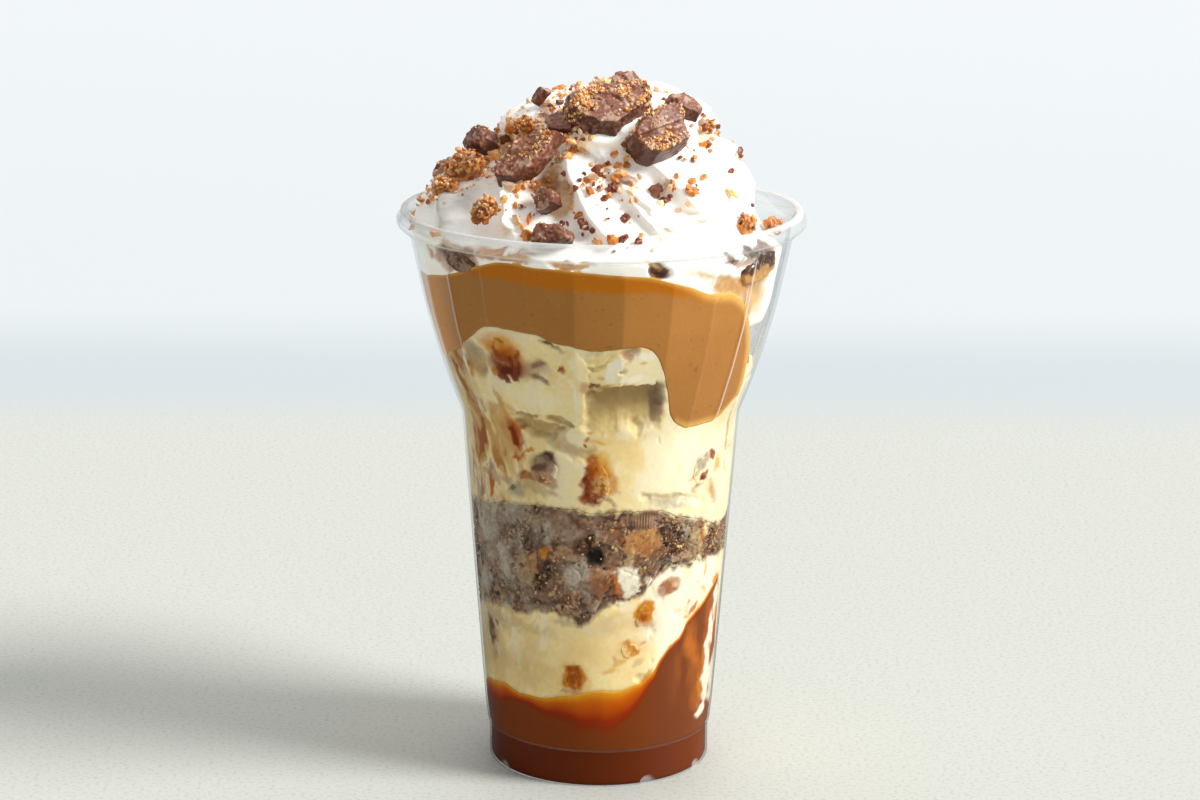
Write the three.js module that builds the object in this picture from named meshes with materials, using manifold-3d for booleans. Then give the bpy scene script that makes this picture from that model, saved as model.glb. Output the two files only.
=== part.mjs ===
// Layered ice cream sundae in a clear plastic cup with a flared, faceted mouth.
// Millimetres, +Z up, the origin at the middle of the cup's foot. Azimuth is in degrees from the
// front (-Y) towards +X.
import * as THREE from "three";
import { ConvexGeometry } from "three/addons/geometries/ConvexGeometry.js";
import { mergeVertices } from "three/addons/utils/BufferGeometryUtils.js";
import Module from "manifold-3d";

const wasm = await Module();
wasm.setup();

// Driving sizes.
const cupHeight = 137;
const rimRadius = 49;
const footRadius = 27;
const footHeight = 9;
const wallThickness = 0.8;
const floorHeight = 2;
const facetCount = 24; // flat panels round the flare
const facetPhase = -8; // azimuth of one panel edge
const facetStart = 87.5; // the panels begin at the waist
const facetEnd = 131.5; // and fade out under the rim
const around = 48; // steps round the cup, two to a panel
const gap = 0.3; // between any two pieces
const creamTop = 166.6;
const largeLump = 8.5; // lumps of toffee longer than this have more crags
const crumbCount = 30;

const degree = Math.PI / 180;
const facetAngle = 360 / facetCount;
const facetDrop = 1 - Math.cos((facetAngle / 2) * degree);
const beyondWall = 60; // radius past the cup, for a solid that then cuts another
const overWall = 1.12; // a layer is made this much wider than the cup, and then cut to fit in it

// The outside of the cup, radius and height: foot, stacking step, straight body, waist, flare.
const cupOutline = [
  [footRadius, 0.6],
  [footRadius, footHeight - 0.2],
  [27.4, footHeight + 0.4],
  [27.9, 13],
  [28.7, 23],
  [33.6, 88],
  [36.3, 95],
  [39.3, 104],
  [42.2, 114],
  [44.4, 124.5],
  [45.7, 130.5],
];

// Where each layer ends on the wall, azimuth and height, and the same at the middle of the cup.
const poolTop = {
  middle: 21,
  wall: [
    [-86, 18.4], [-76, 21.1], [-63, 22], [-54, 22.8], [-44, 21.4], [-32, 21.6], [-19, 22.6],
    [-7.4, 24], [2, 25], [12, 25], [20, 26.4], [28, 28.9], [30, 31.4], [35, 34.5], [42, 36.6],
    [46, 40], [56.7, 43.4], [65, 46], [75, 49], [79, 33], [85, 15], [98, 17], [125, 27], [160, 21],
    [200, 25], [235, 18],
  ],
};
const crunchBottom = {
  middle: 46,
  wall: [
    [-86, 39.5], [-62, 41.9], [-50, 42], [-41, 42.8], [-30, 43.8], [-20, 44.3], [-13, 43.6],
    [-9, 41.6], [-1, 44.4], [5, 46.3], [11, 47.1], [15.4, 47.4], [20, 49.2], [24, 52.2], [27, 54],
    [33, 54.3], [60, 54.8], [77, 54.2], [90, 52], [130, 44], [180, 47], [230, 42],
  ],
};
const crunchTop = {
  middle: 69,
  wall: [
    [-86, 66], [-58, 68.2], [-46, 69.8], [-27, 71.1], [-18, 71.3], [-10, 70.4], [-3, 69.4],
    [4, 70.1], [21, 70.4], [31, 69], [42, 66.7], [57, 63.4], [66, 62], [90, 64], [140, 71],
    [180, 68], [230, 70], [260, 66],
  ],
};
const tanBottom = {
  middle: 104,
  wall: [
    [-77, 102], [-57, 107.6], [-47, 111.4], [-41, 114.4], [-20, 114.1], [-9, 111], [-3, 110.5],
    [14, 111.4], [18, 110], [22, 105], [26, 97], [30, 91.6], [36, 89.5], [52, 89.6], [60, 91.5],
    [66, 94], [75, 97], [110, 98], [135, 106], [160, 110], [185, 104], [215, 108], [245, 103],
    [265, 100],
  ],
};
const tanTop = {
  middle: 127,
  wall: [
    [-74, 122.8], [-57, 125.3], [-47, 127.4], [-38, 129.8], [-28, 131], [-20, 130.7], [0, 129.8],
    [14, 128.8], [28, 125.7], [40, 123.7], [48, 121.5], [54, 117], [58, 114], [66, 114], [75, 120],
    [100, 123], [140, 126], [180, 124], [220, 126], [260, 122],
  ],
};

// The free pocket at the right of the mouth, between the contents and the wall.
const pocket = {
  inner: 36.5,
  from: 61,
  to: 130,
  bottom: 93,
  creamFrom: 77,
  creamTo: 124,
  creamFade: 14,
};

// The whipped cream's crests, from the wall up: radius, height, depth of the valleys between the
// crests, and how far the swirl has turned.
const creamRows = [
  [48, 130.2, 0.5, 0],
  [42.8, 134, 1.5, 0],
  [41.2, 137, 3.4, 0],
  [39.7, 140.5, 4.8, 5],
  [37.2, 144, 5.2, 10],
  [34, 147.5, 5, 15],
  [30.4, 150.5, 4.2, 20],
  [27.2, 153, 2.8, 25],
  [25.7, 154.8, 1.2, 28],
  [25.8, 156.8, 1, 34],
  [24.2, 159.4, 1.7, 42],
  [20.6, 162, 1.8, 50],
  [15, 164.4, 1.4, 58],
  [8, 166, 0.8, 66],
];
const creamCrests = [-54, -24.5, 6, 24, 45, 71, 97, 123, 149, 175.5, 201.5, 227.5, 253.5, 280];
const columnsPerCrest = 4;
// The mound leans: how far its middle lies towards +X at each height.
const creamLean = [
  [137, -3], [142, -2.3], [147, -0.6], [150.5, 0.3], [155.5, 1.5], [161.5, 2.6], [creamTop, 2],
];

const chocolateMaterial = () => new THREE.MeshStandardMaterial({ color: 0x5f3826, roughness: 0.5 });
const honeycombMaterial = () => new THREE.MeshStandardMaterial({ color: 0xc27a2c, roughness: 0.6 });

// A number from 0 to 1 at each call, the same every run.
function randomFrom(seed) {
  let state = seed;
  return () => {
    state = (state * 1664525 + 1013904223) % 4294967296;
    return state / 4294967296;
  };
}

const mix = (a, b, t) => a + (b - a) * t;
const clamp01 = (t) => Math.min(1, Math.max(0, t));
const smooth = (t) => clamp01(t) ** 2 * (3 - 2 * clamp01(t));
const wrap = (azimuth) => (((azimuth + 180) % 360) + 360) % 360 - 180;

// Reads the second value of a list of pairs at a first value, straight between the pairs.
function along(pairs, at) {
  const last = pairs.length - 1;
  if (at <= pairs[0][0]) return pairs[0][1];
  if (at >= pairs[last][0]) return pairs[last][1];
  const i = pairs.findIndex((pair) => pair[0] > at);
  const [a, b] = [pairs[i - 1], pairs[i]];
  return mix(a[1], b[1], (at - a[0]) / (b[0] - a[0]));
}

// The same for a list that goes round the cup.
function roundTheCup(pairs, azimuth) {
  const first = pairs[0];
  const turned = azimuth < first[0] ? azimuth + 360 : azimuth;
  return along([...pairs, [first[0] + 360, first[1]]], turned);
}

const outsideRadius = (z) => along(cupOutline.map(([r, height]) => [height, r]), z);
const facetDepth = (z) => smooth((z - facetStart) / 5) * smooth((facetEnd - z) / 3);
const onCup = (azimuth, radius, z) =>
  new THREE.Vector3(radius * Math.sin(azimuth * degree), -radius * Math.cos(azimuth * degree), z);
// The largest radius that the contents can have at a height.
const fillRadius = (z) =>
  (outsideRadius(z) - wallThickness) * (1 - facetDrop * facetDepth(z)) - gap;

// Turns a three.js geometry into a solid, and back.
function solidFrom(geometry) {
  const bare = geometry.index ? geometry.toNonIndexed() : geometry.clone();
  bare.deleteAttribute("normal");
  bare.deleteAttribute("uv");
  const merged = mergeVertices(bare, 1e-4);
  const index = merged.index.array;
  const triangles = [];
  for (let i = 0; i < index.length; i += 3) {
    const [a, b, c] = index.slice(i, i + 3);
    if (a !== b && b !== c && c !== a) triangles.push(a, b, c);
  }
  return new wasm.Manifold(
    new wasm.Mesh({
      numProp: 3,
      vertProperties: merged.attributes.position.array,
      triVerts: new Uint32Array(triangles),
    }),
  );
}

function geometryFrom(solid) {
  const mesh = solid.getMesh();
  const geometry = new THREE.BufferGeometry();
  geometry.setAttribute("position", new THREE.BufferAttribute(mesh.vertProperties, 3));
  geometry.setIndex(new THREE.BufferAttribute(mesh.triVerts, 1));
  geometry.computeVertexNormals();
  return geometry;
}

// A cut can leave scraps, so only the largest body is kept.
function largest(solid) {
  const bodies = solid.decompose();
  return bodies.reduce((best, body) => (body.volume() > best.volume() ? body : best));
}

// Spins a profile of radius and height pairs about Z, then moves each point with place(azimuth,
// radius, height), which gives its place.
function spun(profile, steps, place) {
  const points = profile.map(([r, z]) => new THREE.Vector2(r, z));
  const geometry = new THREE.LatheGeometry(points, steps, facetPhase * degree, 2 * Math.PI);
  geometry.rotateX(Math.PI / 2);
  const position = geometry.attributes.position;
  for (let i = 0; i < position.count; i++) {
    const [x, y, z] = [position.getX(i), position.getY(i), position.getZ(i)];
    const moved = place(Math.atan2(x, -y) / degree, Math.hypot(x, y), z);
    position.setXYZ(i, moved.x, moved.y, moved.z);
  }
  return geometry;
}

// ---- The cup ----

// Radii shrink between the panel edges, so each panel is flat.
function faceted(azimuth, radius, z) {
  const inPanel = (((azimuth - facetPhase) % facetAngle) + facetAngle) % facetAngle - facetAngle / 2;
  const flat = Math.cos((facetAngle / 2) * degree) / Math.cos(inPanel * degree);
  return onCup(azimuth, radius * mix(1, flat, facetDepth(z)), z);
}

function makeCup() {
  const recess = [[0, 1], [23.6, 1], [24.3, 0], [26.5, 0]];
  const rim = [
    [47.6, 132.4],
    [rimRadius, 134.4],
    [48.5, 136.5],
    [47.2, cupHeight],
    [46.2, 136.2],
  ];
  const inside = cupOutline
    .slice(2)
    .map(([r, z]) => [r - wallThickness, z])
    .reverse();
  const lower = [
    [footRadius - wallThickness, footHeight - 0.4],
    [footRadius - wallThickness, floorHeight + 0.8],
    [footRadius - wallThickness - 0.8, floorHeight],
    [0, floorHeight],
  ];
  return spun([...recess, ...cupOutline, ...rim, ...inside, ...lower], around, faceted);
}

// ---- The layers ----

// The room inside the cup, clear of the wall, up to the middle of the rim.
function makeCavity() {
  const heights = cupOutline.slice(2).map(([, z]) => z);
  const side = heights.map((z) => [fillRadius(z), z]);
  const top = rimRadius - 3.4 - gap;
  return solidFrom(
    spun(
      [
        [0, floorHeight + gap],
        [footRadius - wallThickness - 0.9 - gap, floorHeight + gap],
        [footRadius - wallThickness - gap, floorHeight + 1.1 + gap],
        [footRadius - wallThickness - gap, footHeight - 0.3],
        ...side,
        [top, 135.5],
        [top + 0.4, creamTop + 30],
        [0, creamTop + 30],
      ],
      around,
      onCup,
    ),
  );
}

const level = (z) => ({ middle: z, wall: [[0, z]] });

// A layer between two surfaces, each straight from the middle of the cup to its height at the wall.
function makeLayer(below, above, cavity) {
  const outline = [[0, 0], [overWall, 0], [overWall, 1], [0, 1]];
  const slab = spun(outline, around, (azimuth, share, side) => {
    const surface = side < 0.5 ? below : above;
    const atWall = roundTheCup(surface.wall, azimuth);
    const z = mix(surface.middle, atWall, share) + (side < 0.5 ? gap : 0);
    return onCup(azimuth, share * fillRadius(atWall), z);
  });
  return largest(solidFrom(slab).intersect(cavity));
}

// The pocket as a solid: a sector of a ring.
function makePocket() {
  const [from, to] = [(pocket.from - 90) * degree, (pocket.to - 90) * degree];
  const sector = new THREE.Shape();
  sector.absarc(0, 0, beyondWall, from, to, false);
  sector.absarc(0, 0, pocket.inner, to, from, true);
  const geometry = new THREE.ExtrudeGeometry(sector, {
    depth: cupHeight - pocket.bottom,
    bevelEnabled: false,
    curveSegments: 8,
  });
  geometry.translate(0, 0, pocket.bottom);
  return solidFrom(geometry);
}

// ---- Broken pieces ----

// An uneven outline with a number of corners, about as long and high as given.
function roughOutline([length, height], corners, random) {
  const outline = [];
  for (let i = 0; i < corners; i++) {
    const angle = ((i + 0.6 * random()) / corners) * 2 * Math.PI;
    const square = 1 / Math.max(Math.abs(Math.cos(angle)), Math.abs(Math.sin(angle)));
    const reach = mix(1, square, 0.6) * mix(0.85, 1, random());
    outline.push([0.5 * length * reach * Math.cos(angle), 0.5 * height * reach * Math.sin(angle)]);
  }
  return outline;
}

// A broken piece of chocolate: its outline below, and a slightly smaller one above.
function shard({ size, seed, outline, corners = 7 }) {
  const random = randomFrom(seed);
  const halfThickness = size[2] / 2;
  const points = [];
  for (const [x, y] of outline ?? roughOutline(size, corners, random)) {
    const inset = mix(0.8, 1, random());
    points.push(new THREE.Vector3(x, y, -halfThickness * mix(0.85, 1, random())));
    points.push(new THREE.Vector3(x * inset, y * inset, halfThickness * mix(0.85, 1, random())));
  }
  return new ConvexGeometry(points);
}

// A round bar lying along a groove in a piece's upper face, to be cut from it.
function grooveBar({ from, to, width }, thickness) {
  const length = Math.hypot(to[0] - from[0], to[1] - from[1]);
  const bar = new THREE.CylinderGeometry(width / 2, width / 2, length, 8);
  bar.rotateZ(Math.atan2(to[1] - from[1], to[0] - from[0]) - Math.PI / 2);
  bar.translate((from[0] + to[0]) / 2, (from[1] + to[1]) / 2, thickness / 2 + 0.15 * width);
  return bar;
}

// A craggy lump of honeycomb toffee. The larger ones have more crags.
function lump({ size: [length, height, thickness], seed }) {
  const detail = length > largeLump ? 1 : 0;
  const random = randomFrom(seed);
  const ball = new THREE.IcosahedronGeometry(0.5, detail);
  ball.deleteAttribute("normal");
  ball.deleteAttribute("uv");
  const geometry = mergeVertices(ball, 1e-4);
  const position = geometry.attributes.position;
  for (let i = 0; i < position.count; i++) {
    const crag = mix(0.78, 1.08, random());
    position.setXYZ(
      i,
      position.getX(i) * crag * length,
      position.getY(i) * crag * height,
      position.getZ(i) * crag * thickness,
    );
  }
  return geometry;
}

// Puts a piece at a point with its broad face looking along an azimuth and an elevation, after a
// spin in its own plane. grow makes it larger all round, for the bed that it lies in.
function laid(geometry, { at, face: [azimuth, elevation], spin = 0 }, grow = 0) {
  const placed = geometry.clone();
  if (grow) {
    placed.computeBoundingBox();
    const size = placed.boundingBox.getSize(new THREE.Vector3());
    placed.scale(1 + (2 * grow) / size.x, 1 + (2 * grow) / size.y, 1 + (2 * grow) / size.z);
  }
  placed.rotateZ(spin * degree);
  placed.rotateX((90 - elevation) * degree);
  placed.rotateZ(azimuth * degree);
  placed.translate(...at);
  return solidFrom(placed);
}

// Chocolate on and in the cream. The three largest have outlines of their own, as seen square on,
// to the right and up from the middle.
const chocolatePieces = [
  {
    name: "slab_top", at: [1.7, -20.4, 163.6], face: [8, 52], size: [21, 14, 6], seed: 11,
    outline: [
      [-10.1, -1.2], [-7.3, -5.4], [-4.2, -7.1], [0.5, -7.4], [6.3, -2.9], [10.6, 2.1], [10.6, 5.4],
      [8.9, 6.8], [-1.2, 6.5], [-5.2, 4.8], [-10.1, 2.1],
    ],
  },
  {
    name: "block_grooved", at: [12.6, -25.2, 159], face: [26, 30], size: [16, 13, 8.4], seed: 23,
    outline: [
      [-8.5, -1], [-4.9, 2.5], [0.2, 5.6], [5.6, 6.6], [7.1, 5.9], [7.1, -3.4], [2.1, -5.7],
      [-2.1, -6.7], [-5.2, -5.5], [-7.6, -3.1],
    ],
    groove: { from: [-6.5, -2.6], to: [8, 1.2], width: 2.6 },
  },
  {
    name: "shard_left", at: [-17, -26, 153.4], face: [-28, 30], size: [15, 14, 5], seed: 31,
    outline: [
      [-5.6, -0.3], [-3.1, 3.3], [0.8, 5.3], [5.4, 6.8], [7.4, 6.3], [5.9, 3], [4.7, 0], [2.4, -3.4],
      [-1.2, -6.3], [-6.6, -7], [-7.3, -4.5],
    ],
  },
  { name: "piece_far_left", at: [-28, -6.5, 153.4], face: [-70, 40], spin: 10, size: [9, 8, 6], seed: 47 },
  { name: "piece_peak", at: [5.4, -9.4, 167.4], face: [10, 60], spin: 5, size: [9, 7, 5], seed: 53 },
  { name: "curl_right", at: [18.8, -14, 163.4], face: [40, 50], spin: -38, size: [9, 5, 3.4], seed: 61 },
  { name: "piece_front", at: [-11.4, -40.4, 137.8], face: [-16, 25], size: [9.6, 5.4, 5], seed: 71 },
  { name: "shell_front", at: [-12.8, -34.4, 144.6], face: [-20, 20], spin: 20, size: [6, 6.4, 5], seed: 83 },
  { name: "splinter_left", at: [-14.6, -10.6, 165], face: [-50, 30], spin: 60, size: [6, 3, 2.4], seed: 97 },
  { name: "chip_upper_left", at: [-9.6, -20.6, 160], face: [-20, 45], size: [8, 6, 3.6], seed: 103 },
  { name: "slab_back", at: [10.8, 24.2, 158.2], face: [160, 38], spin: -15, size: [15, 10, 5], seed: 113 },
  { name: "piece_back_left", at: [-15.6, 27.2, 150.6], face: [-150, 35], size: [11, 9, 6], seed: 12 },
  { name: "piece_back_right", at: [26, 18.2, 149], face: [125, 35], spin: 10, size: [9, 7, 5], seed: 131 },
  { name: "shard_back_low", at: [-36.6, 16, 142], face: [-115, 25], spin: 25, size: [12, 8, 5], seed: 137 },
];

// Honeycomb toffee on and in the cream.
const honeycombPieces = [
  { name: "cluster_left", at: [-31.6, -14.6, 149.2], face: [-60, 35], spin: 20, size: [13, 9, 7], seed: 5 },
  { name: "cluster_low", at: [-36.6, -15.6, 144.6], face: [-62, 30], spin: 8, size: [11, 6, 6], seed: 7 },
  { name: "piece_left", at: [-27.2, -31.4, 141.6], face: [-40, 15], spin: 62, size: [9.4, 6, 5], seed: 13 },
  { name: "piece_upper_left", at: [-17.8, -17.6, 159.4], face: [-45, 35], size: [6.4, 6, 5], seed: 17 },
  { name: "piece_right", at: [33.8, -20, 136.8], face: [60, 30], size: [8, 6, 6], seed: 19 },
  { name: "piece_rim", at: [40.4, -12.6, 134.8], face: [70, 40], size: [7, 4.8, 4.6], seed: 29 },
  { name: "piece_upper_right", at: [24.6, -13.8, 158.6], face: [60, 40], size: [6, 5, 4], seed: 37 },
  { name: "cluster_back", at: [-12.2, 36.2, 143], face: [-165, 30], size: [11, 7, 6], seed: 139 },
  { name: "piece_back", at: [3.2, 17.2, 163.2], face: [178, 50], size: [7, 6, 5], seed: 149 },
  { name: "piece_back_low", at: [19.4, 30.8, 141.4], face: [145, 30], spin: 20, size: [8, 6, 5], seed: 151 },
  { name: "piece_side", at: [-30.2, 4.6, 150.4], face: [-95, 35], size: [7, 6, 5], seed: 157 },
];

const toppings = [
  ...chocolatePieces.map((piece) => ({ ...piece, name: `chocolate_${piece.name}`, make: shard })),
  ...honeycombPieces.map((piece) => ({ ...piece, name: `honeycomb_${piece.name}`, make: lump })),
];

// Pieces that lie against the wall in the layers: place on the wall, and size along it, up it and
// into the layer.
const wallPieces = {
  whipped_cream: [
    { name: "chocolate_under_rim_left", azimuth: -47, z: 129.6, size: [10, 5.4, 6], seed: 41 },
    { name: "chocolate_under_rim_right", azimuth: 57, z: 127.4, size: [18, 8, 7], seed: 43 },
  ],
  ice_cream_upper: [
    { name: "toffee_swirl_high", azimuth: -34, z: 105.6, size: [7, 11, 4], seed: 59 },
    { name: "chocolate_bit_upper", azimuth: -23, z: 80.4, size: [6, 8, 4], seed: 67 },
    { name: "honeycomb_streak", azimuth: -1, z: 77, size: [6.4, 12, 4], seed: 73 },
    { name: "chocolate_bit_right", azimuth: 49, z: 77.6, size: [8, 8, 4], seed: 79 },
    { name: "honeycomb_streak_back", azimuth: 150, z: 84, size: [6, 11, 4], seed: 163 },
    { name: "chocolate_bit_back", azimuth: -130, z: 86, size: [8, 7, 4], seed: 167 },
  ],
  ice_cream_lower: [
    { name: "toffee_blob_low", azimuth: 22, z: 44, size: [5.6, 6.6, 4], seed: 89 },
    { name: "honeycomb_cube_low", azimuth: -12.6, z: 27.2, size: [5.8, 6.6, 4.4], seed: 101 },
    { name: "toffee_bit_low", azimuth: 14.4, z: 35, size: [4.6, 4.4, 3.4], seed: 107 },
    { name: "chocolate_bit_low_left", azimuth: -62, z: 33.6, size: [5, 8, 4], seed: 109 },
    { name: "toffee_blob_back", azimuth: 168, z: 34, size: [6, 6, 4], seed: 173 },
  ],
};

// Crushed chocolate and honeycomb, pressed against the wall all round: a core with the pieces on it.
function makeCrunch(cavity) {
  const envelope = makeLayer(crunchBottom, crunchTop, cavity);
  const coreInset = 1.3;
  const inner = spun(
    [[0, 30], [fillRadius(30) - coreInset, 30], [fillRadius(86) - coreInset, 86], [0, 86]],
    around,
    onCup,
  );
  const random = randomFrom(2027);
  const pieces = [];
  const perRow = 14;
  for (let row = 0; row < 3; row++) {
    for (let i = 0; i < perRow; i++) {
      const azimuth = wrap(((i + 0.5 * (row % 2) + 0.3 * random()) / perRow) * 360);
      const low = roundTheCup(crunchBottom.wall, azimuth);
      const high = roundTheCup(crunchTop.wall, azimuth);
      const size = mix(6, 8.4, random());
      const rows = Math.min(3, Math.floor((high - low) / 7.6));
      if (row >= rows) continue;
      const z = mix(low, high, (row + 0.5) / rows);
      const piece = lump({ size: [size, size * 0.95, size * 0.9], seed: 300 + pieces.length });
      pieces.push(
        laid(piece, {
          at: onCup(azimuth, fillRadius(z) - size * 0.46, z).toArray(),
          face: [azimuth, 0],
          spin: 360 * random(),
        }),
      );
    }
  }
  const heap = wasm.Manifold.union([envelope.intersect(solidFrom(inner)), ...pieces]);
  return largest(heap.intersect(envelope));
}

// ---- The whipped cream ----

const leanAt = (z) => along(creamLean, z);

// The cream keeps clear of the pocket: the largest radius at an azimuth.
function creamReach(azimuth) {
  const middle = (pocket.creamFrom + pocket.creamTo) / 2;
  const half = (pocket.creamTo - pocket.creamFrom) / 2;
  const past = Math.abs(wrap(azimuth - middle)) - half;
  return mix(pocket.inner, beyondWall, smooth(past / pocket.creamFade));
}

// A point on the cream. crest counts the crests round the mound, and row the rows up it.
function creamPoint(crest, row) {
  const low = Math.min(Math.floor(row), creamRows.length - 2);
  const [radius, z, valley, turn] = creamRows[low].map((value, k) =>
    mix(value, creamRows[low + 1][k], row - low),
  );
  const count = creamCrests.length;
  const k = Math.floor(crest);
  const start = creamCrests[k % count] + 360 * Math.floor(k / count);
  const end = creamCrests[(k + 1) % count] + 360 * Math.floor((k + 1) / count);
  const share = crest - k;
  const uneven = 0.8 + 0.3 * Math.sin(2.4 * k + 1);
  const depth = valley * mix(1, uneven, 0.8) * Math.sin(Math.PI * share) ** 0.75;
  const azimuth = mix(start, end, share) - turn;
  const point = onCup(azimuth, radius - depth, z - 0.25 * depth);
  point.x += leanAt(z);
  const reach = creamReach(Math.atan2(point.x, -point.y) / degree);
  const from = Math.hypot(point.x, point.y);
  const kept = Math.min(1, reach / from);
  return new THREE.Vector3(point.x * kept, point.y * kept, point.z);
}

function makeCream(cavity) {
  const columns = creamCrests.length * columnsPerCrest;
  const rows = creamRows.length;
  const base = 105; // inside the layer below, which the cream is then cut clear of
  const profile = [[0, -1], [1, -1]];
  for (let row = 0; row < rows; row++) profile.push([1, row]);
  profile.push([0, rows]);
  const geometry = spun(profile, columns, (azimuth, share, height) => {
    const row = Math.round(height);
    const middleHeight = row < 0 ? base : creamTop;
    if (share < 0.5) return new THREE.Vector3(leanAt(middleHeight), 0, middleHeight);
    const crest = ((azimuth - facetPhase + 360) % 360) / (360 / creamCrests.length);
    const point = creamPoint(crest, Math.max(row, 0));
    if (row < 0) point.z = base;
    return point;
  });
  const room = makeLayer(tanTop, level(creamTop + 20), cavity);
  return solidFrom(geometry).intersect(room);
}

// Crumbs scattered on the cream, thickest at the front and top, away from the larger pieces.
function makeCrumbs() {
  const random = randomFrom(515);
  const crumbs = [];
  for (let tries = 0; crumbs.length < crumbCount && tries < 600; tries++) {
    const crest = creamCrests.length * random();
    const row = mix(2.2, 12.5, random());
    const size = mix(1.5, 3.4, random() ** 2);
    const at = creamPoint(crest, row);
    const clear = toppings.every(
      (piece) => at.distanceTo(new THREE.Vector3(...piece.at)) > 0.62 * Math.max(...piece.size) + size,
    );
    if (!clear) continue;
    const crumb = lump({ size: [size * 1.2, size, size], seed: 700 + crumbs.length });
    crumbs.push(laid(crumb, { at: at.toArray(), face: [360 * random(), 0], spin: 360 * random() }));
  }
  return crumbs;
}

// ---- Assembly ----

const sundae = new THREE.Group();

function addMesh(name, geometry, material) {
  const mesh = new THREE.Mesh(geometry, material);
  mesh.name = name;
  sundae.add(mesh);
}

const cavity = makeCavity();
const pocketSolid = makePocket();
const layers = {
  sauce_pool: makeLayer(level(0), poolTop, cavity),
  ice_cream_lower: makeLayer(poolTop, crunchBottom, cavity),
  crunch_layer: makeCrunch(cavity),
  ice_cream_upper: makeLayer(crunchTop, tanBottom, cavity),
  tan_sauce: largest(makeLayer(tanBottom, tanTop, cavity).subtract(pocketSolid)),
  whipped_cream: wasm.Manifold.union([makeCream(cavity), ...makeCrumbs()]),
};
const layerMaterials = {
  sauce_pool: new THREE.MeshStandardMaterial({ color: 0x6b2c10, roughness: 0.25 }),
  ice_cream_lower: new THREE.MeshStandardMaterial({ color: 0xeadbb0, roughness: 0.6 }),
  crunch_layer: new THREE.MeshStandardMaterial({ color: 0x5a4438, roughness: 0.7 }),
  ice_cream_upper: new THREE.MeshStandardMaterial({ color: 0xe8dab2, roughness: 0.6 }),
  tan_sauce: new THREE.MeshStandardMaterial({ color: 0xb07a40, roughness: 0.4 }),
  whipped_cream: new THREE.MeshStandardMaterial({ color: 0xfbf8f2, roughness: 0.55 }),
};

// Each piece in turn takes its room from what it lies in and from the pieces laid before it.
const bedGap = gap + 0.05;
const beds = [];
const pieces = [];
const clearOfBeds = (solid) => largest(beds.reduce((left, bed) => left.subtract(bed), solid));
for (const piece of toppings) {
  const geometry = piece.make(piece);
  let solid = clearOfBeds(laid(geometry, piece));
  if (piece.groove) solid = solid.subtract(laid(grooveBar(piece.groove, piece.size[2]), piece));
  pieces.push([piece.name, solid]);
  beds.push(laid(geometry, piece, bedGap));
}
for (const [layer, inLayer] of Object.entries(wallPieces)) {
  for (const piece of inLayer) {
    const geometry = shard({ ...piece, corners: 8 });
    const depth = 0.42 * piece.size[2];
    const at = onCup(piece.azimuth, fillRadius(piece.z) - depth, piece.z).toArray();
    const placing = { at, face: [piece.azimuth, -4] };
    const bed = laid(geometry, placing, bedGap);
    pieces.push([piece.name, clearOfBeds(laid(geometry, placing).intersect(cavity))]);
    layers[layer] = layers[layer].subtract(bed);
    if (layer === "whipped_cream") layers.tan_sauce = largest(layers.tan_sauce.subtract(bed));
  }
}
layers.whipped_cream = beds.reduce((cream, bed) => cream.subtract(bed), layers.whipped_cream);

const cupMaterial = new THREE.MeshStandardMaterial({
  color: 0xf2f6f7,
  roughness: 0.08,
  transparent: true,
  opacity: 0.3,
});
addMesh("cup", makeCup(), cupMaterial);
for (const [name, solid] of Object.entries(layers))
  addMesh(name, geometryFrom(largest(solid)), layerMaterials[name]);
for (const [name, solid] of pieces)
  addMesh(
    name,
    geometryFrom(solid),
    name.startsWith("chocolate") ? chocolateMaterial() : honeycombMaterial(),
  );

export default sundae;
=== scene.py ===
import itertools
import math

import bmesh
import bpy
import numpy as np
from mathutils import Matrix, Vector, kdtree


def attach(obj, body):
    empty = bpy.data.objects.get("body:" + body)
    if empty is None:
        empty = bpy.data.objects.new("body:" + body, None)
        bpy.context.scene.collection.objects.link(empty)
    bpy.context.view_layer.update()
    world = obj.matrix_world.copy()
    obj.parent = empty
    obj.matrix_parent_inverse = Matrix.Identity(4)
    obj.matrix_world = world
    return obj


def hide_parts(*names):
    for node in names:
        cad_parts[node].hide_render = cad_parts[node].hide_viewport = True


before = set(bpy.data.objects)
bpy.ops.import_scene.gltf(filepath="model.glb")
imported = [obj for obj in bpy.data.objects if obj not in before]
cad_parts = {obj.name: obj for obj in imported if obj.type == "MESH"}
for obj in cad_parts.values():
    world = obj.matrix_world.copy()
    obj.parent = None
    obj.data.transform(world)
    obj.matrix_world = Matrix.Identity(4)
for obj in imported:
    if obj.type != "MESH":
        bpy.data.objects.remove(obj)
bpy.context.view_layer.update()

# Ice cream sundae in a clear cup. All settings are in millimetres and degrees; azimuth counts from
# the front (-Y) towards +X, and height from the table.
mm = 0.001
fullTurn = 2 * math.pi


def toLinear(hexColour):
    # an sRGB hex colour as linear red, green and blue
    levels = [int(hexColour[i:i + 2], 16) / 255 for i in (0, 2, 4)]
    return np.array([v / 12.92 if v <= 0.04045 else ((v + 0.055) / 1.055) ** 2.4 for v in levels])


def smooth(t):
    # 0 to 1 with soft ends
    t = np.clip(t, 0, 1)
    return t * t * (3 - 2 * t)


def mix(a, b, t):
    return a + (b - a) * t


# random values on a grid that repeats, for the noise
latticeSize = 48
lattice = np.random.default_rng(11).random((latticeSize,) * 3) * 2 - 1


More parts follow.
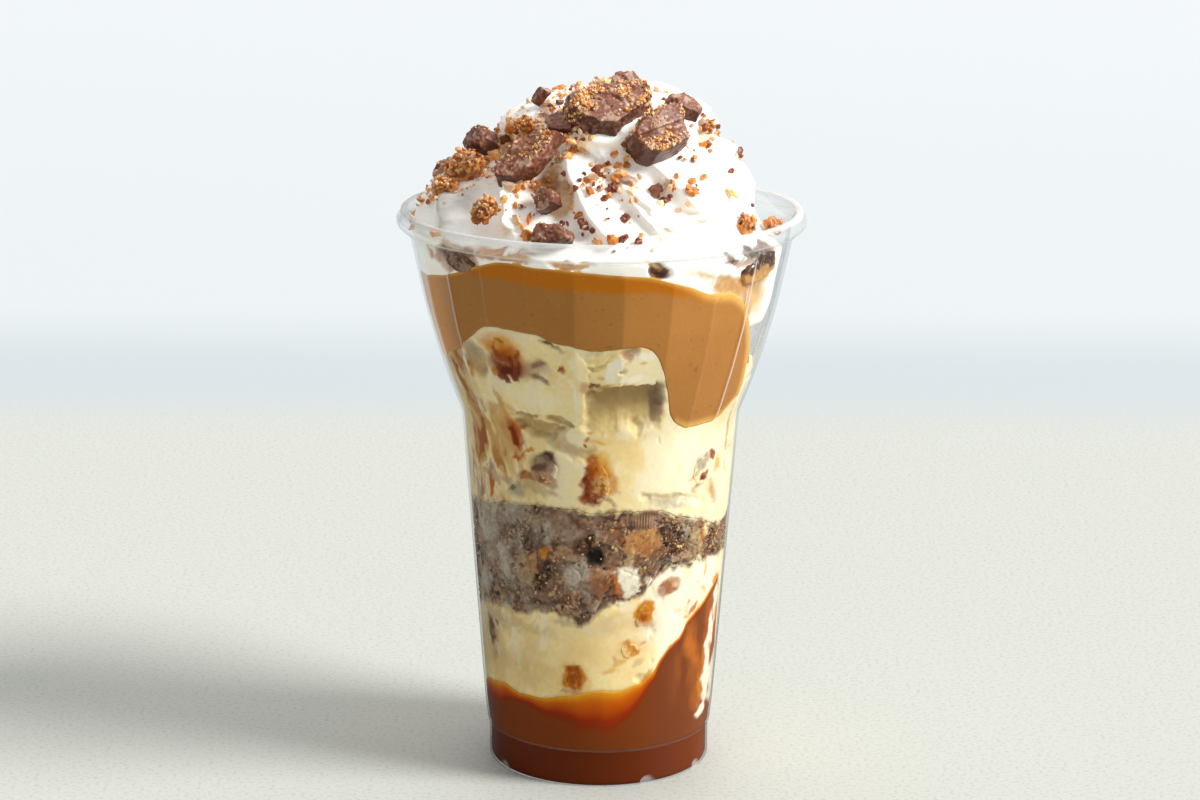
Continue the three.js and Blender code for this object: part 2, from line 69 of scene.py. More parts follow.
def softNoise(points, size, octaves, seed):
    # uneven values of about -1 to 1, in lumps of a size
    total = np.zeros(len(points))
    strength = 1.0
    for octave in range(octaves):
        at = points / size * 2 ** octave + 13.7 * octave + 5.3 * seed
        cell = np.floor(at).astype(int)
        part = smooth(at - cell)
        for corner in itertools.product((0, 1), repeat=3):
            weight = np.prod(np.where(corner, part, 1 - part), axis=1)
            i, j, k = ((cell + corner) % latticeSize).T
            total += strength * weight * lattice[i, j, k]
        strength *= 0.5
    return total


def onCup(azimuth, radius, height):
    # points at an azimuth, a distance from the axis and a height
    turn = np.radians(azimuth)
    return np.stack([radius * np.sin(turn), -radius * np.cos(turn), height + 0 * azimuth], axis=1)


def cupPlaces(points):
    # the azimuth of points, their distance from the axis and their height
    azimuth = np.degrees(np.arctan2(points[:, 0], -points[:, 1]))
    return azimuth, np.hypot(points[:, 0], points[:, 1]), points[:, 2]


def readPoints(mesh):
    flat = np.empty(3 * len(mesh.vertices))
    mesh.vertices.foreach_get("co", flat)
    return flat.reshape(-1, 3)


def readNormals(mesh):
    flat = np.empty(3 * len(mesh.vertices))
    mesh.vertex_normals.foreach_get("vector", flat)
    return flat.reshape(-1, 3)


def writePoints(mesh, points, unit=mm):
    mesh.vertices.foreach_set("co", (points * unit).ravel())
    mesh.update()


def paint(mesh, colours):
    # one linear colour for each vertex, which the materials read as "tone"
    tone = mesh.color_attributes.new("tone", "FLOAT_COLOR", "POINT")
    rgba = np.ones((len(colours), 4))
    rgba[:, :3] = np.clip(colours, 0, 1)
    tone.data.foreach_set("color", rgba.ravel())


def meshFrom(bm, name):
    mesh = bpy.data.meshes.new(name)
    bm.to_mesh(mesh)
    bm.free()
    return mesh


def tidyMesh(mesh):
    # joins points that meet and turns every face outward
    bm = bmesh.new()
    bm.from_mesh(mesh)
    bmesh.ops.remove_doubles(bm, verts=bm.verts, dist=1e-6)
    bmesh.ops.recalc_face_normals(bm, faces=bm.faces)
    bm.to_mesh(mesh)
    bm.free()


def lathe(name, profile, steps):
    # a grid closed round Z, one row for each (distance, height) pair of the profile
    bm = bmesh.new()
    bmesh.ops.create_grid(bm, x_segments=steps, y_segments=len(profile) - 1, size=0.5)
    mesh = meshFrom(bm, name)
    flat = readPoints(mesh) + 0.5
    turn = np.rint(flat[:, 0] * steps) % steps / steps * fullTurn
    distance, height = np.array(profile, float)[np.rint(flat[:, 1] * (len(profile) - 1)).astype(int)].T
    writePoints(mesh, np.stack([distance * np.cos(turn), distance * np.sin(turn), height], axis=1), 1)
    tidyMesh(mesh)
    return mesh


def addPiece(name, mesh, material, nodes, smoothed=True):
    piece = bpy.data.objects.new(name, mesh)
    bpy.context.scene.collection.objects.link(piece)
    mesh.materials.append(material)
    mesh.polygons.foreach_set("use_smooth", [smoothed] * len(mesh.polygons))
    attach(piece, "root")
    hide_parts(*nodes)


view = {
    "place": (-0.13, -750, 276),
    "downward": 13.97,
    "roll": 0.36,
    "lens": 95.7,
    "sensor": 36,
}


def addCamera():
    data = bpy.data.cameras.new("camera")
    data.lens = view["lens"]
    data.sensor_width = view["sensor"]
    data.clip_start = 0.01
    camera = bpy.data.objects.new("camera", data)
    bpy.context.scene.collection.objects.link(camera)
    place = Matrix.Translation([v * mm for v in view["place"]])
    tilt = Matrix.Rotation(math.radians(90 - view["downward"]), 4, "X")
    roll = Matrix.Rotation(math.radians(view["roll"]), 4, "Z")
    camera.matrix_world = place @ tilt @ roll
    bpy.context.scene.camera = camera


def addNode(tree, kind, values=None, links=None, **settings):
    # a shader node with its settings, its socket values and what is linked to its sockets
    node = tree.nodes.new("ShaderNode" + kind)
    for name, value in settings.items():
        setattr(node, name, value)
    for name, value in (values or {}).items():
        node.inputs[name].default_value = value
    for name, (source, output) in (links or {}).items():
        tree.links.new(source.outputs[output], node.inputs[name])
    return node


def newMaterial(name):
    material = bpy.data.materials.new(name)
    material.use_nodes = True
    tree = material.node_tree
    tree.nodes.clear()
    return material, tree


def finishMaterial(tree, shader):
    addNode(tree, "OutputMaterial", links={"Surface": (shader, 0)})


room = {
    "towards": (0.55, 0.75, 0.36),  # where the room is brightest
    "diffuse": (0.22, 0.5, 1.0),  # brightness away from there, across and towards it
    "glossy": (0.02, 0.12, 0.8),
    "overhead": 1.6,  # how bright the lamps above are in a gloss
    "overheadFrom": 0.35,
    "overheadTo": 0.75,
    "backdrop": "f0f5f8",
}


def setWorld():
    # a bright room behind the sundae and a dimmer one in front of it; behind the clear cup it is plain
    world = bpy.data.worlds.new("room")
    world.use_nodes = True
    bpy.context.scene.world = world
    tree = world.node_tree
    tree.nodes.clear()
    direction = addNode(tree, "TexCoord")
    lit = addNode(tree, "VectorMath", {1: room["towards"]}, {0: (direction, "Generated")},
                  operation="DOT_PRODUCT")
    spot = addNode(tree, "MapRange", {"From Min": -1}, {"Value": (lit, "Value")})
    shades = []
    for kind in ("diffuse", "glossy"):
        shade = addNode(tree, "ValToRGB", links={"Fac": (spot, 0)})
        ramp = shade.color_ramp
        ramp.elements.new(0.5)
        for element, level in zip(ramp.elements, room[kind]):
            element.color = (level, level, level, 1)
        shades.append(shade)
    upward = addNode(tree, "SeparateXYZ", links={0: (direction, "Generated")})
    above = addNode(tree, "MapRange", {
        "From Min": room["overheadFrom"], "From Max": room["overheadTo"], "To Max": room["overhead"],
    }, {"Value": (upward, "Z")}, interpolation_type="SMOOTHSTEP")
    gloss = addNode(tree, "VectorMath", links={0: (shades[1], 0), 1: (above, 0)}, operation="ADD")
    path = addNode(tree, "LightPath")
    lighting = addNode(tree, "Mix", links={
        "Factor": (path, "Is Glossy Ray"), 6: (shades[0], 0), 7: (gloss, 0),
    }, data_type="RGBA")
    direct = addNode(tree, "Math", links={0: (path, "Is Camera Ray"), 1: (path, "Is Transmission Ray")},
                     operation="MAXIMUM")
    seen = addNode(tree, "Mix", {7: (*toLinear(room["backdrop"]), 1)},
                   {"Factor": (direct, 0), 6: (lighting, 2)}, data_type="RGBA")
    background = addNode(tree, "Background", links={"Color": (seen, 2)})
    addNode(tree, "OutputWorld", links={"Surface": (background, 0)})


window = {"from": (76, -23, 62), "strength": 3.7, "spread": 22, "colour": (1.0, 0.985, 0.96)}


def addWindow():
    # one broad light from the right and a little from the front
    data = bpy.data.lights.new("window", "SUN")
    data.energy = window["strength"]
    data.angle = math.radians(window["spread"])
    data.color = window["colour"]
    piece = bpy.data.objects.new("window", data)
    bpy.context.scene.collection.objects.link(piece)
    aim = Vector(window["from"])
    piece.matrix_world = Matrix.Translation(aim / 100) @ aim.to_track_quat("Z", "Y").to_matrix().to_4x4()


counter = {
    "reach": 9,  # in metres, as the distances below
    "speckScale": 900,
    "colours": [(0.3, "b5b7af"), (0.5, "c5c8c1")],
    # bluer further back: from, to and colour
    "far": [(0.3, 0.38, "b9c2c6"), (0.4, 0.52, "cad0d3"), (0.6, 1.5, "cdd2d6")],
    # nearer than the first it is darker in a reflection, and fully so nearer than the second
    "dimFrom": 0.3,
    "dimTo": 0.1,
    "dimmed": 0.12,
}


def addFloor():
    bm = bmesh.new()
    bmesh.ops.create_grid(bm, x_segments=1, y_segments=1, size=counter["reach"])
    mesh = meshFrom(bm, "floor")
    floor = bpy.data.objects.new("floor", mesh)
    bpy.context.scene.collection.objects.link(floor)
    mesh.materials.append(speckledStone())


def speckledStone():
    # Reconstituted stone, cut and softly polished: pale, with fine darker specks and no clear mirror image.
    material, tree = newMaterial("paleStoneTop")
    place = addNode(tree, "TexCoord")
    speck = addNode(tree, "TexNoise", {"Scale": counter["speckScale"], "Detail": 2},
                    {"Vector": (place, "Object")})
    tone = addNode(tree, "ValToRGB", links={"Fac": (speck, 0)})
    for element, (position, colour) in zip(tone.color_ramp.elements, counter["colours"]):
        element.color = (*toLinear(colour), 1)
        element.position = position
    ways = addNode(tree, "SeparateXYZ", links={0: (place, "Object")})
    faded, output = tone, 0
    for start, end, colour in counter["far"]:
        far = addNode(tree, "MapRange", {"From Min": start, "From Max": end}, {"Value": (ways, "Y")},
                      interpolation_type="SMOOTHSTEP")
        faded = addNode(tree, "Mix", {7: (*toLinear(colour), 1)}, {"Factor": (far, 0), 6: (faded, output)},
                        data_type="RGBA")
        output = 2
    path = addNode(tree, "LightPath")
    front = addNode(tree, "MapRange", {"From Min": counter["dimFrom"], "From Max": counter["dimTo"]},
                    {"Value": (ways, "Y")})
    mirrored = addNode(tree, "Math", links={0: (path, "Is Glossy Ray"), 1: (front, 0)}, operation="MULTIPLY")
    dim = addNode(tree, "MapRange", {"To Min": 1, "To Max": counter["dimmed"]}, {"Value": (mirrored, 0)})
    dimmed = addNode(tree, "VectorMath", links={0: (faded, 2), 1: (dim, 0)}, operation="MULTIPLY")
    shader = addNode(tree, "BsdfPrincipled", {"Roughness": 0.6}, {"Base Color": (dimmed, 0)})
    finishMaterial(tree, shader)
    return material


cup = {
    "rimRadius": 49,
    "height": 137,
    "wall": 0.8,
    "footRadius": 27,
    "footHeight": 9,
    "floor": 2,
    # radius and height of the outside: straight body, waist and flare
    "outline": [(27.4, 9.4), (27.9, 13), (28.7, 23), (33.6, 88), (36.3, 95), (39.3, 104), (42.2, 114),
                (44.4, 124.5), (45.7, 130.5)],
    "softening": 1.6,  # how far its corners are rounded
    "rows": [(1.0, 11, 0.35), (11.4, 85, 2.4), (85, 130.6, 0.95)],  # from, to and spacing
    "recess": [(0, 1), (12, 1), (23.4, 1), (23.9, 0.7), (24.3, 0.15), (24.8, 0), (26.2, 0)],
    "rounding": 0.7,  # of the foot's edge and of the step over it
    "shoulder": [(46.2, 131.7), (46.9, 132.2), (47.8, 132.6)],
    # arcs of the rolled rim: middle inward and downward from its edge, radius, turns and points
    "bead": [(1.5, 2.7, 1.5, -62, 62, 9), (1.8, 1.4, 1.4, 62, 155, 8)],
    "lip": [(45.5, 134.6), (45.1, 132.6), (45.0, 131.2)],
    "panels": 24,
    "panelPhase": -8,  # azimuth of one panel edge
    "panelStart": 87.5,
    "panelEnd": 131.5,
    "panelFade": (5, 3),  # over what height a panel begins and ends
    "ridge": (0.07, 0.45),  # height and width of the ridge along a panel edge
    # columns within a panel, closer together at its edges
    "columns": [0, 0.012, 0.03, 0.06, 0.12, 0.2, 0.3, 0.4, 0.5, 0.6, 0.7, 0.8, 0.88, 0.94, 0.97, 0.988],
    # how bright the painted highlight along each panel edge is, by azimuth
    "edgeLines": [(-83, 0.1), (-68, 0.3), (-53, 0.45), (-38, 0.06), (-23, 0.02), (22, 0.01), (37, 0.04),
                  (52, 0.6), (67, 0.35), (82, 0.2), (180, 0.2)],
    "edgeWidth": 0.22,
    "rimFrom": 132.4,
    "rimHaze": 0.07,
    "rimLines": [(136.8, 0.34, 0.75), (135.2, 0.2, 0.25), (133.1, 0.34, 0.5)],  # height, width and brightness of the painted highlight lines
    "stepHaze": 0.12,
    "stepWidth": 0.35,
    "notches": [26, 62, 146, 182, 266, 302],  # half-round dents in the foot
    "notch": {"half": 2.1, "height": 2.3, "depth": 0.45, "haze": 0.3},
    "rippleScale": 60,
    "clear": [(0.985, 0.99, 0.99, 1), (0.78, 0.8, 0.8, 1)],  # what it lets through, face on and at its edges
    "milky": (0.8, 0.81, 0.8, 1),
}


def outsideRadius(height):
    # the outline with its corners softened
    radii, heights = zip(*cup["outline"])
    shifts = np.linspace(-1, 1, 5) * cup["softening"]
    above = np.mean([np.interp(height + shift, heights, radii) for shift in shifts], axis=0)
    step = smooth((height - cup["footHeight"] + 0.2) / cup["rounding"])
    return mix(cup["footRadius"], above, step)


def panelDepth(height):
    # 1 where the panels are flat, fading at their ends
    lower, upper = cup["panelFade"]
    return smooth((height - cup["panelStart"]) / lower) * smooth((cup["panelEnd"] - height) / upper)


def panelled(azimuth, radius, height):
    # between its edges a panel lies closer to the axis
    panel = 360 / cup["panels"]
    across = (azimuth - cup["panelPhase"]) % panel - panel / 2
    flat = np.cos(np.radians(panel / 2)) / np.cos(np.radians(across))
    return radius * mix(1, flat, panelDepth(height))


def wallRadius(azimuth, height):
    # the inside of the wall
    return panelled(azimuth, outsideRadius(height) - cup["wall"], height)


def panelColumns(points):
    # azimuth, distance and height of spun points, with a column on each panel edge
    azimuth = np.degrees(np.arctan2(points[:, 1], points[:, 0])) + cup["panelPhase"]
    return azimuth, np.hypot(points[:, 0], points[:, 1]), points[:, 2]


def fromAzimuth(azimuth, middle):
    # degrees from a middle, the short way round
    return (azimuth - middle + 180) % 360 - 180


def arc(middle, radius, start, end, count):
    turns = np.radians(np.linspace(start, end, count))
    return [(middle[0] + radius * math.cos(t), middle[1] + radius * math.sin(t)) for t in turns]


def cupProfile():
    # radius and height along the cup's surface, from under its foot out, over the rim and down inside
    wall, foot, edge, floor = cup["wall"], cup["footRadius"], cup["rounding"], cup["floor"]
    heights = np.concatenate([np.arange(*span) for span in cup["rows"]])
    outer = [(float(outsideRadius(z)), z) for z in heights]
    inner = [(r - wall, z) for r, z in reversed(outer) if z > floor + 1.2]
    footEdge = arc((foot - edge, edge), edge, -80, -8, 5)
    bead = []
    for inward, down, radius, *turns in cup["bead"]:
        bead += arc((cup["rimRadius"] - inward, cup["height"] - down), radius, *turns)
    inside = arc((foot - wall - 1, floor + 1), 1, 0, -90, 5) + [(14, floor), (0, floor)]
    return [*cup["recess"], *footEdge, *outer, *cup["shoulder"], *bead, *cup["lip"], *inner, *inside]


def makeCup():
    foot, panel = cup["footRadius"], 360 / cup["panels"]
    columns = len(cup["columns"])
    mesh = lathe("clearCup", cupProfile(), cup["panels"] * columns)
    azimuth, radius, height = panelColumns(readPoints(mesh))
    turn = (azimuth - cup["panelPhase"]) % 360 / panel
    column = np.rint((turn - np.floor(turn)) * columns).astype(int)
    step = np.floor(turn) + (column == columns)
    share = np.array([*cup["columns"], 0])[column]
    azimuth = cup["panelPhase"] + (step + share) * panel
    outside = radius > foot - 0.4
    across = np.minimum(share, 1 - share) * math.radians(panel) * radius
    onPanels = panelDepth(height)
    ridge, ridgeWidth = cup["ridge"]
    radius = panelled(azimuth, radius, height) + ridge * onPanels * np.exp(-(across / ridgeWidth) ** 2)
    # the rolled rim is a little milky all over; the white lines along the rim, at the step over the foot and
    # along some panel edges are painted highlights
    haze = cup["rimHaze"] * smooth((height - cup["rimFrom"]) / 0.5)
    for level, width, milkiness in cup["rimLines"]:
        haze = np.maximum(haze, milkiness * np.exp(-((height - level) / width) ** 2) * (radius > 46.6))
    atStep = smooth(1 - np.abs(height - cup["footHeight"] - 0.2) / cup["stepWidth"])
    haze = np.maximum(haze, cup["stepHaze"] * outside * atStep)
    edgeAt = cup["panelPhase"] + np.rint(step + share) * panel
    lit = np.interp(edgeAt, *zip(*cup["edgeLines"]), period=360)
    haze = np.maximum(haze, lit * onPanels * outside * np.exp(-(across / cup["edgeWidth"]) ** 2))
    notch = cup["notch"]
    for middle in cup["notches"]:
        across = fromAzimuth(azimuth, middle) * math.radians(1) * foot
        inNotch = smooth((1 - (across / notch["half"]) ** 2 - (height / notch["height"]) ** 2) / 0.35)
        inNotch = inNotch * outside * (height < 3)
        radius = radius - notch["depth"] * inNotch
        haze = np.maximum(haze, notch["haze"] * inNotch)
    writePoints(mesh, onCup(azimuth, radius, height))
    paint(mesh, np.tile(haze[:, None], (1, 3)))
    tidyMesh(mesh)
    addPiece("clearCup", mesh, clearPlastic(), ["cup"])
    print("cup", len(mesh.vertices))


def clearPlastic():
    # Thermoformed PET: hard, clear and thin, with a high gloss. It bends light too little to see,
    # so it mirrors more towards its edges and is clear elsewhere.
    material, tree = newMaterial("thermoformedPet")
    place = addNode(tree, "TexCoord")
    ripple = addNode(tree, "TexNoise", {"Scale": cup["rippleScale"], "Detail": 2},
                     {"Vector": (place, "Object")})
    bump = addNode(tree, "Bump", {"Strength": 0.05, "Distance": 0.4 * mm}, {"Height": (ripple, 0)})
    path = addNode(tree, "LightPath")
    side = addNode(tree, "NewGeometry")
    soft = addNode(tree, "Math", links={0: (path, "Is Shadow Ray"), 1: (path, "Is Diffuse Ray")},
                   operation="MAXIMUM")
    unseen = addNode(tree, "Math", links={0: (soft, 0), 1: (side, "Backfacing")}, operation="MAXIMUM")
    looked = addNode(tree, "Math", {0: 1}, {1: (soft, 0)}, operation="SUBTRACT")
    mirrors = addNode(tree, "Math", {0: 1}, {1: (unseen, 0)}, operation="SUBTRACT")
    edge = addNode(tree, "LayerWeight", {"Blend": 0.12}, {"Normal": (bump, 0)})
    edgeSeen = addNode(tree, "Math", links={0: (edge, "Facing"), 1: (looked, 0)}, operation="MULTIPLY")
    clearness = addNode(tree, "ValToRGB", links={"Fac": (edgeSeen, 0)})
    for element, colour in zip(clearness.color_ramp.elements, cup["clear"]):
        element.color = colour
    clear = addNode(tree, "BsdfTransparent", links={"Color": (clearness, 0)})
    gloss = addNode(tree, "BsdfGlossy", {"Roughness": 0.03}, {"Normal": (bump, 0)})
    fresnel = addNode(tree, "Fresnel", {"IOR": 1.36}, {"Normal": (bump, 0)})
    mirror = addNode(tree, "Math", links={0: (fresnel, 0), 1: (mirrors, 0)}, operation="MULTIPLY")
    shader = addNode(tree, "MixShader", links={"Fac": (mirror, 0), 1: (clear, 0), 2: (gloss, 0)})
    # where the tone attribute is set it turns milky white: the rim's own haze, and the painted highlight
    # lines
    tone = addNode(tree, "Attribute", attribute_name="tone")
    milky = addNode(tree, "BsdfDiffuse", {"Color": cup["milky"]})
    milkyAndHighlit = addNode(tree, "MixShader", links={"Fac": (tone, "Fac"), 1: (shader, 0), 2: (milky, 0)})
    finishMaterial(tree, milkyAndHighlit)
    return material


# where each layer ends: its height at the axis, and at the wall as (azimuth, height)
surfaces = {
    "cupFloor": {"middle": 2, "wall": [(0, 0.25)]},
    "poolTop": {"middle": 21, "ragged": (0.3, 3.5), "wall": [
        (-86, 18.4), (-76, 21.1), (-63, 22), (-54, 22.8), (-44, 21.4), (-32, 21.6), (-19, 22.6),
        (-7.4, 24), (2, 25), (12, 25), (20, 26.4), (27.7, 28.9), (30, 31.4), (35.4, 34.5), (42, 36.6),
        (45.5, 40), (56.7, 43.4), (65, 46), (75, 49), (79, 33), (85, 15), (98, 17), (125, 27),
        (160, 21), (200, 25), (235, 18)]},
    "crunchBottom": {"middle": 46, "ragged": (0.8, 5), "wall": [
        (-86, 39.5), (-62, 41.9), (-50, 42), (-41, 42.8), (-30, 43.8), (-20, 44.3), (-13, 43.6),
        (-9, 41.6), (-1, 44.4), (5, 46.3), (11, 47.1), (15.4, 47.4), (20, 49.2), (24, 52.2), (27, 54),
        (33, 54.3), (60, 54.8), (77, 54.2), (90, 52), (130, 44), (180, 47), (230, 42)]},
    "crunchTop": {"middle": 69, "ragged": (0.8, 5), "wall": [
        (-86, 66), (-58, 68.2), (-46, 69.8), (-27, 71.1), (-18, 71.3), (-10, 70.4), (-3, 69.4),
        (4, 70.1), (21, 70.4), (31, 69), (42, 66.7), (57, 63.4), (66, 62), (90, 64), (140, 71),
        (180, 68), (230, 70), (260, 66)]},
    "tanBottom": {"middle": 104, "ragged": (0.3, 3), "wall": [
        (-77, 102.1), (-57, 107.6), (-47.5, 111.4), (-41.7, 114.2), (-36.5, 114.9), (-28, 114.8),
        (-20.6, 114.1), (-16, 112.6), (-11, 111.8), (-3.5, 110.5), (5, 111.3), (14, 111.6),
        (17, 110.9), (19.6, 108.5), (21.6, 105.9), (23.4, 102), (25.6, 98), (27, 94.2), (30, 91.6),
        (36, 89.5), (42, 89.4), (52, 89.6), (58, 90.9), (66, 94), (75, 97), (110, 98), (135, 106),
        (160, 110), (185, 104), (215, 108), (245, 103), (265, 100)]},
    "tanTop": {"middle": 127, "ragged": (0.2, 6), "wall": [
        (-74, 122.8), (-57, 125.3), (-47, 127.4), (-38.5, 129.8), (-32, 131.2), (-27.6, 131.4),
        (-20, 130.7), (-10, 130.5), (4, 129.6), (14, 128.8), (21, 127.2), (28, 125.7), (34, 123.8),
        (45, 122.7), (50, 120.4), (54, 117), (58, 114), (66, 114), (75, 120), (100, 123),
        (140, 126), (180, 124), (220, 126), (260, 122)]},
}


def surfaceAtWall(name, azimuth):
    surface = surfaces[name]
    spots, heights = zip(*surface["wall"])
    # round the back the line is rounder
    spread = 1 + 11 * smooth((np.abs(fromAzimuth(azimuth, 0)) - 88) / 25)
    shifts = (-1, -0.5, 0, 0.5, 1)
    line = np.mean([np.interp(azimuth + s * spread, spots, heights, period=360) for s in shifts], axis=0)
    if "ragged" in surface:
        amount, size = surface["ragged"]
        line = line + amount * softNoise(onCup(azimuth, 30, line), size, 3, len(name))
    return line


# colours of food, as they look in white light
palette = {name: toLinear(colour) for name, colour in {
    # ice cream: where it is lit, yellower inside, and where light hardly gets in
    "milk": "fbf0cf", "cream": "f3e2b6", "custard": "f7dfa4", "butter": "efd08c", "sand": "dfba78",
    "ochre": "cf9a5a", "ash": "caa97a", "moss": "b8965f", "taupe": "a07e4e", "pale": "f6ecd2",
    # caramel in it, from thin to thick
    "honey": "e0a030", "amber": "cb7d14", "orange": "bd5a06", "toffee": "96420a", "red": "7c2c05",
    "wine": "5c2004", "caramelThin": "c06a24",
    # chocolate in it
    "rose": "bd9474", "mauve": "9a7a64", "bark": "6a4632", "cocoa": "472c20", "night": "22160f",
    "fog": "a89a84",
    # the tan sauce
    "tan": "b57a3c", "tanEdge": "edb661", "band": "bf6c08", "bandEdge": "e0a94e",
    # the crunch, and the melted cream over it
    "crumbBrown": "82604c", "crumbGrey": "958472", "crumbDark": "33221b", "crumbRose": "bb9472",
    "crumbGold": "c08a50", "crumbToffee": "98582a", "film": "c2b5a3", "filmWarm": "a89076",
    # chocolate and honeycomb on the cream
    "milkChoc": "7f4a35", "darkChoc": "47251a", "bloom": "c6a48e", "redBrown": "7c3a1c",
    "comb": "cd7b28", "combLight": "f0b06a", "combDark": "83400f", "dust": "f5cda4",
    # whipped cream, and painted shade for its folds and for faces turned from the light
    "puff": "fffcf5", "puffWarm": "f8e6c8", "fold": "d3b084", "foldDeep": "97622c", "chill": "d9dbda",
    "shade": "bdbcb6",
}.items()}


def warp(points, amount, size, seed):
    # the points pushed about unevenly, so that what is painted by them gets a natural outline
    pushed = [softNoise(points, size, 3, seed + i) for i in range(3)]
    return points + amount * np.stack(pushed, axis=1)


# how the outline of a mark wanders, as amounts and sizes, and how uneven its colour is
brush = {"bend": (1, 5), "fineBend": (0.25, 1.3), "ragged": 0.32, "mottle": (0.3, 1.1), "reach": 2.2}


def applyMarks(marks, points, tones, dents):
    # Each mark is a patch: (azimuth, height, width, height, turn, colour, strength, softness,
    # dent). It tints what is there and presses it away from the wall.
    bent = warp(warp(points, *brush["bend"], 31), *brush["fineBend"], 35)
    mottling, mottleSize = brush["mottle"]
    azimuth, radius, height = cupPlaces(bent)
    for at, level, wide, tall, turn, colour, strength, softness, dent in marks:
        across = fromAzimuth(azimuth, at) * math.radians(1) * radius
        up = height - level
        c, s = math.cos(math.radians(turn)), math.sin(math.radians(turn))
        a = (across * c + up * s) / (wide / 2)
        b = (up * c - across * s) / (tall / 2)
        near = np.flatnonzero(np.maximum(np.abs(a), np.abs(b)) < brush["reach"])
        if not len(near):
            continue
        size = min(4, max(1, 0.6 * min(wide, tall)))
        uneven = softNoise(bent[near], size, 3, 3 + int(abs(at)))
        away = np.hypot(a[near], b[near]) + brush["ragged"] * uneven
        soft = 1.35 * softness + 0.1
        share = smooth((1 + 0.5 * softness - away) / soft)
        if colour:
            mottled = np.clip(1 + mottling * softNoise(bent[near], mottleSize, 3, 5 + int(level)), 0, 1)
            tones[near] = mix(tones[near], palette[colour], (strength * share * mottled)[:, None])
        dents[near] += dent * share


def crowdFront(azimuth):
    # more columns at the front, where the layers show best
    return np.interp(fromAzimuth(azimuth, 0), [-180, -122, 122, 180], [-180, -95, 95, 180])


def layerMesh(name, below, above, settings):
    # A shell from the axis out to the wall between two surfaces. Where it is tucked behind its
    # neighbour it reaches further and lies a little deeper.
    rows, inward = settings["rows"], np.linspace(0, 0.95, 5)
    profile = [(share, 0) for share in inward] + [(1, row / rows) for row in range(rows + 1)]
    profile += [(share, 1) for share in reversed(inward)]
    mesh = lathe(name, profile, settings["steps"])
    azimuth, share, level = panelColumns(readPoints(mesh))
    azimuth = crowdFront(azimuth)
    tuckBelow, tuckAbove = settings["tucks"]
    low = surfaceAtWall(below, azimuth) - tuckBelow
    high = surfaceAtWall(above, azimuth) + tuckAbove
    low = mix(surfaces[below]["middle"] - tuckBelow, low, share)
    high = mix(surfaces[above]["middle"] + tuckAbove, high, share)
    height = mix(low, np.maximum(high, low + 0.5), level)
    return mesh, azimuth, share, height, low, high


def layerRadius(azimuth, share, height, low, high, settings, dents):
    # A layer reaches just into the wall. It lies deeper where a neighbour covers it, and its free
    # edges are rounded.
    tuckBelow, tuckAbove = settings["tucks"]
    reach = settings["reach"]
    hidden = np.maximum(smooth((low + tuckBelow - height) / 0.3 + 0.5) * (tuckBelow > 0),
                        smooth((height - high + tuckAbove) / 0.3 + 0.5) * (tuckAbove > 0))
    lip = settings["lip"]
    edge = np.minimum(np.where(tuckBelow > 0, lip, height - low),
                      np.where(tuckAbove > 0, lip, high - height))
    rounding = lip * (1 - np.sqrt(np.clip(1 - (1 - np.clip(edge / lip, 0, 1)) ** 2, 0, 1)))
    outer = wallRadius(azimuth, height) + reach - 0.25 * hidden - 0.6 * rounding
    return share * (outer - dents * (share > 0.97))


def toneMaterial(name, roughness, grainSize, bump, speckle, specular=0.5, subsurface=0.0,
                 radius=(1, 0.5, 0.3), scale=2, glow=0.0):
    # A food whose colour is painted on its points, with a fine grain in colour and relief. The glow
    # stands for light that scatters far inside it.
    material, tree = newMaterial(name)
    place = addNode(tree, "TexCoord")
    tone = addNode(tree, "Attribute", attribute_name="tone")
    grain = addNode(tree, "TexNoise", {"Scale": 1000 / grainSize, "Detail": 4, "Roughness": 0.6},
                    {"Vector": (place, "Object")})
    shade = addNode(tree, "MapRange", {
        "From Min": 0.3, "From Max": 0.7, "To Min": 1 - speckle, "To Max": 1 + speckle,
    }, {"Value": (grain, 0)})
    tinted = addNode(tree, "VectorMath", links={0: (tone, "Color"), 1: (shade, 0)}, operation="MULTIPLY")
    relief = addNode(tree, "Bump", {"Strength": 0.6, "Distance": bump * mm}, {"Height": (grain, 0)})
    shader = addNode(tree, "BsdfPrincipled", {
        "Roughness": roughness, "Specular IOR Level": specular, "Emission Strength": glow,
        "Subsurface Weight": subsurface, "Subsurface Radius": radius, "Subsurface Scale": scale * mm,
    }, {"Base Color": (tinted, 0), "Emission Color": (tinted, 0), "Normal": (relief, 0)})
    finishMaterial(tree, shader)
    return material


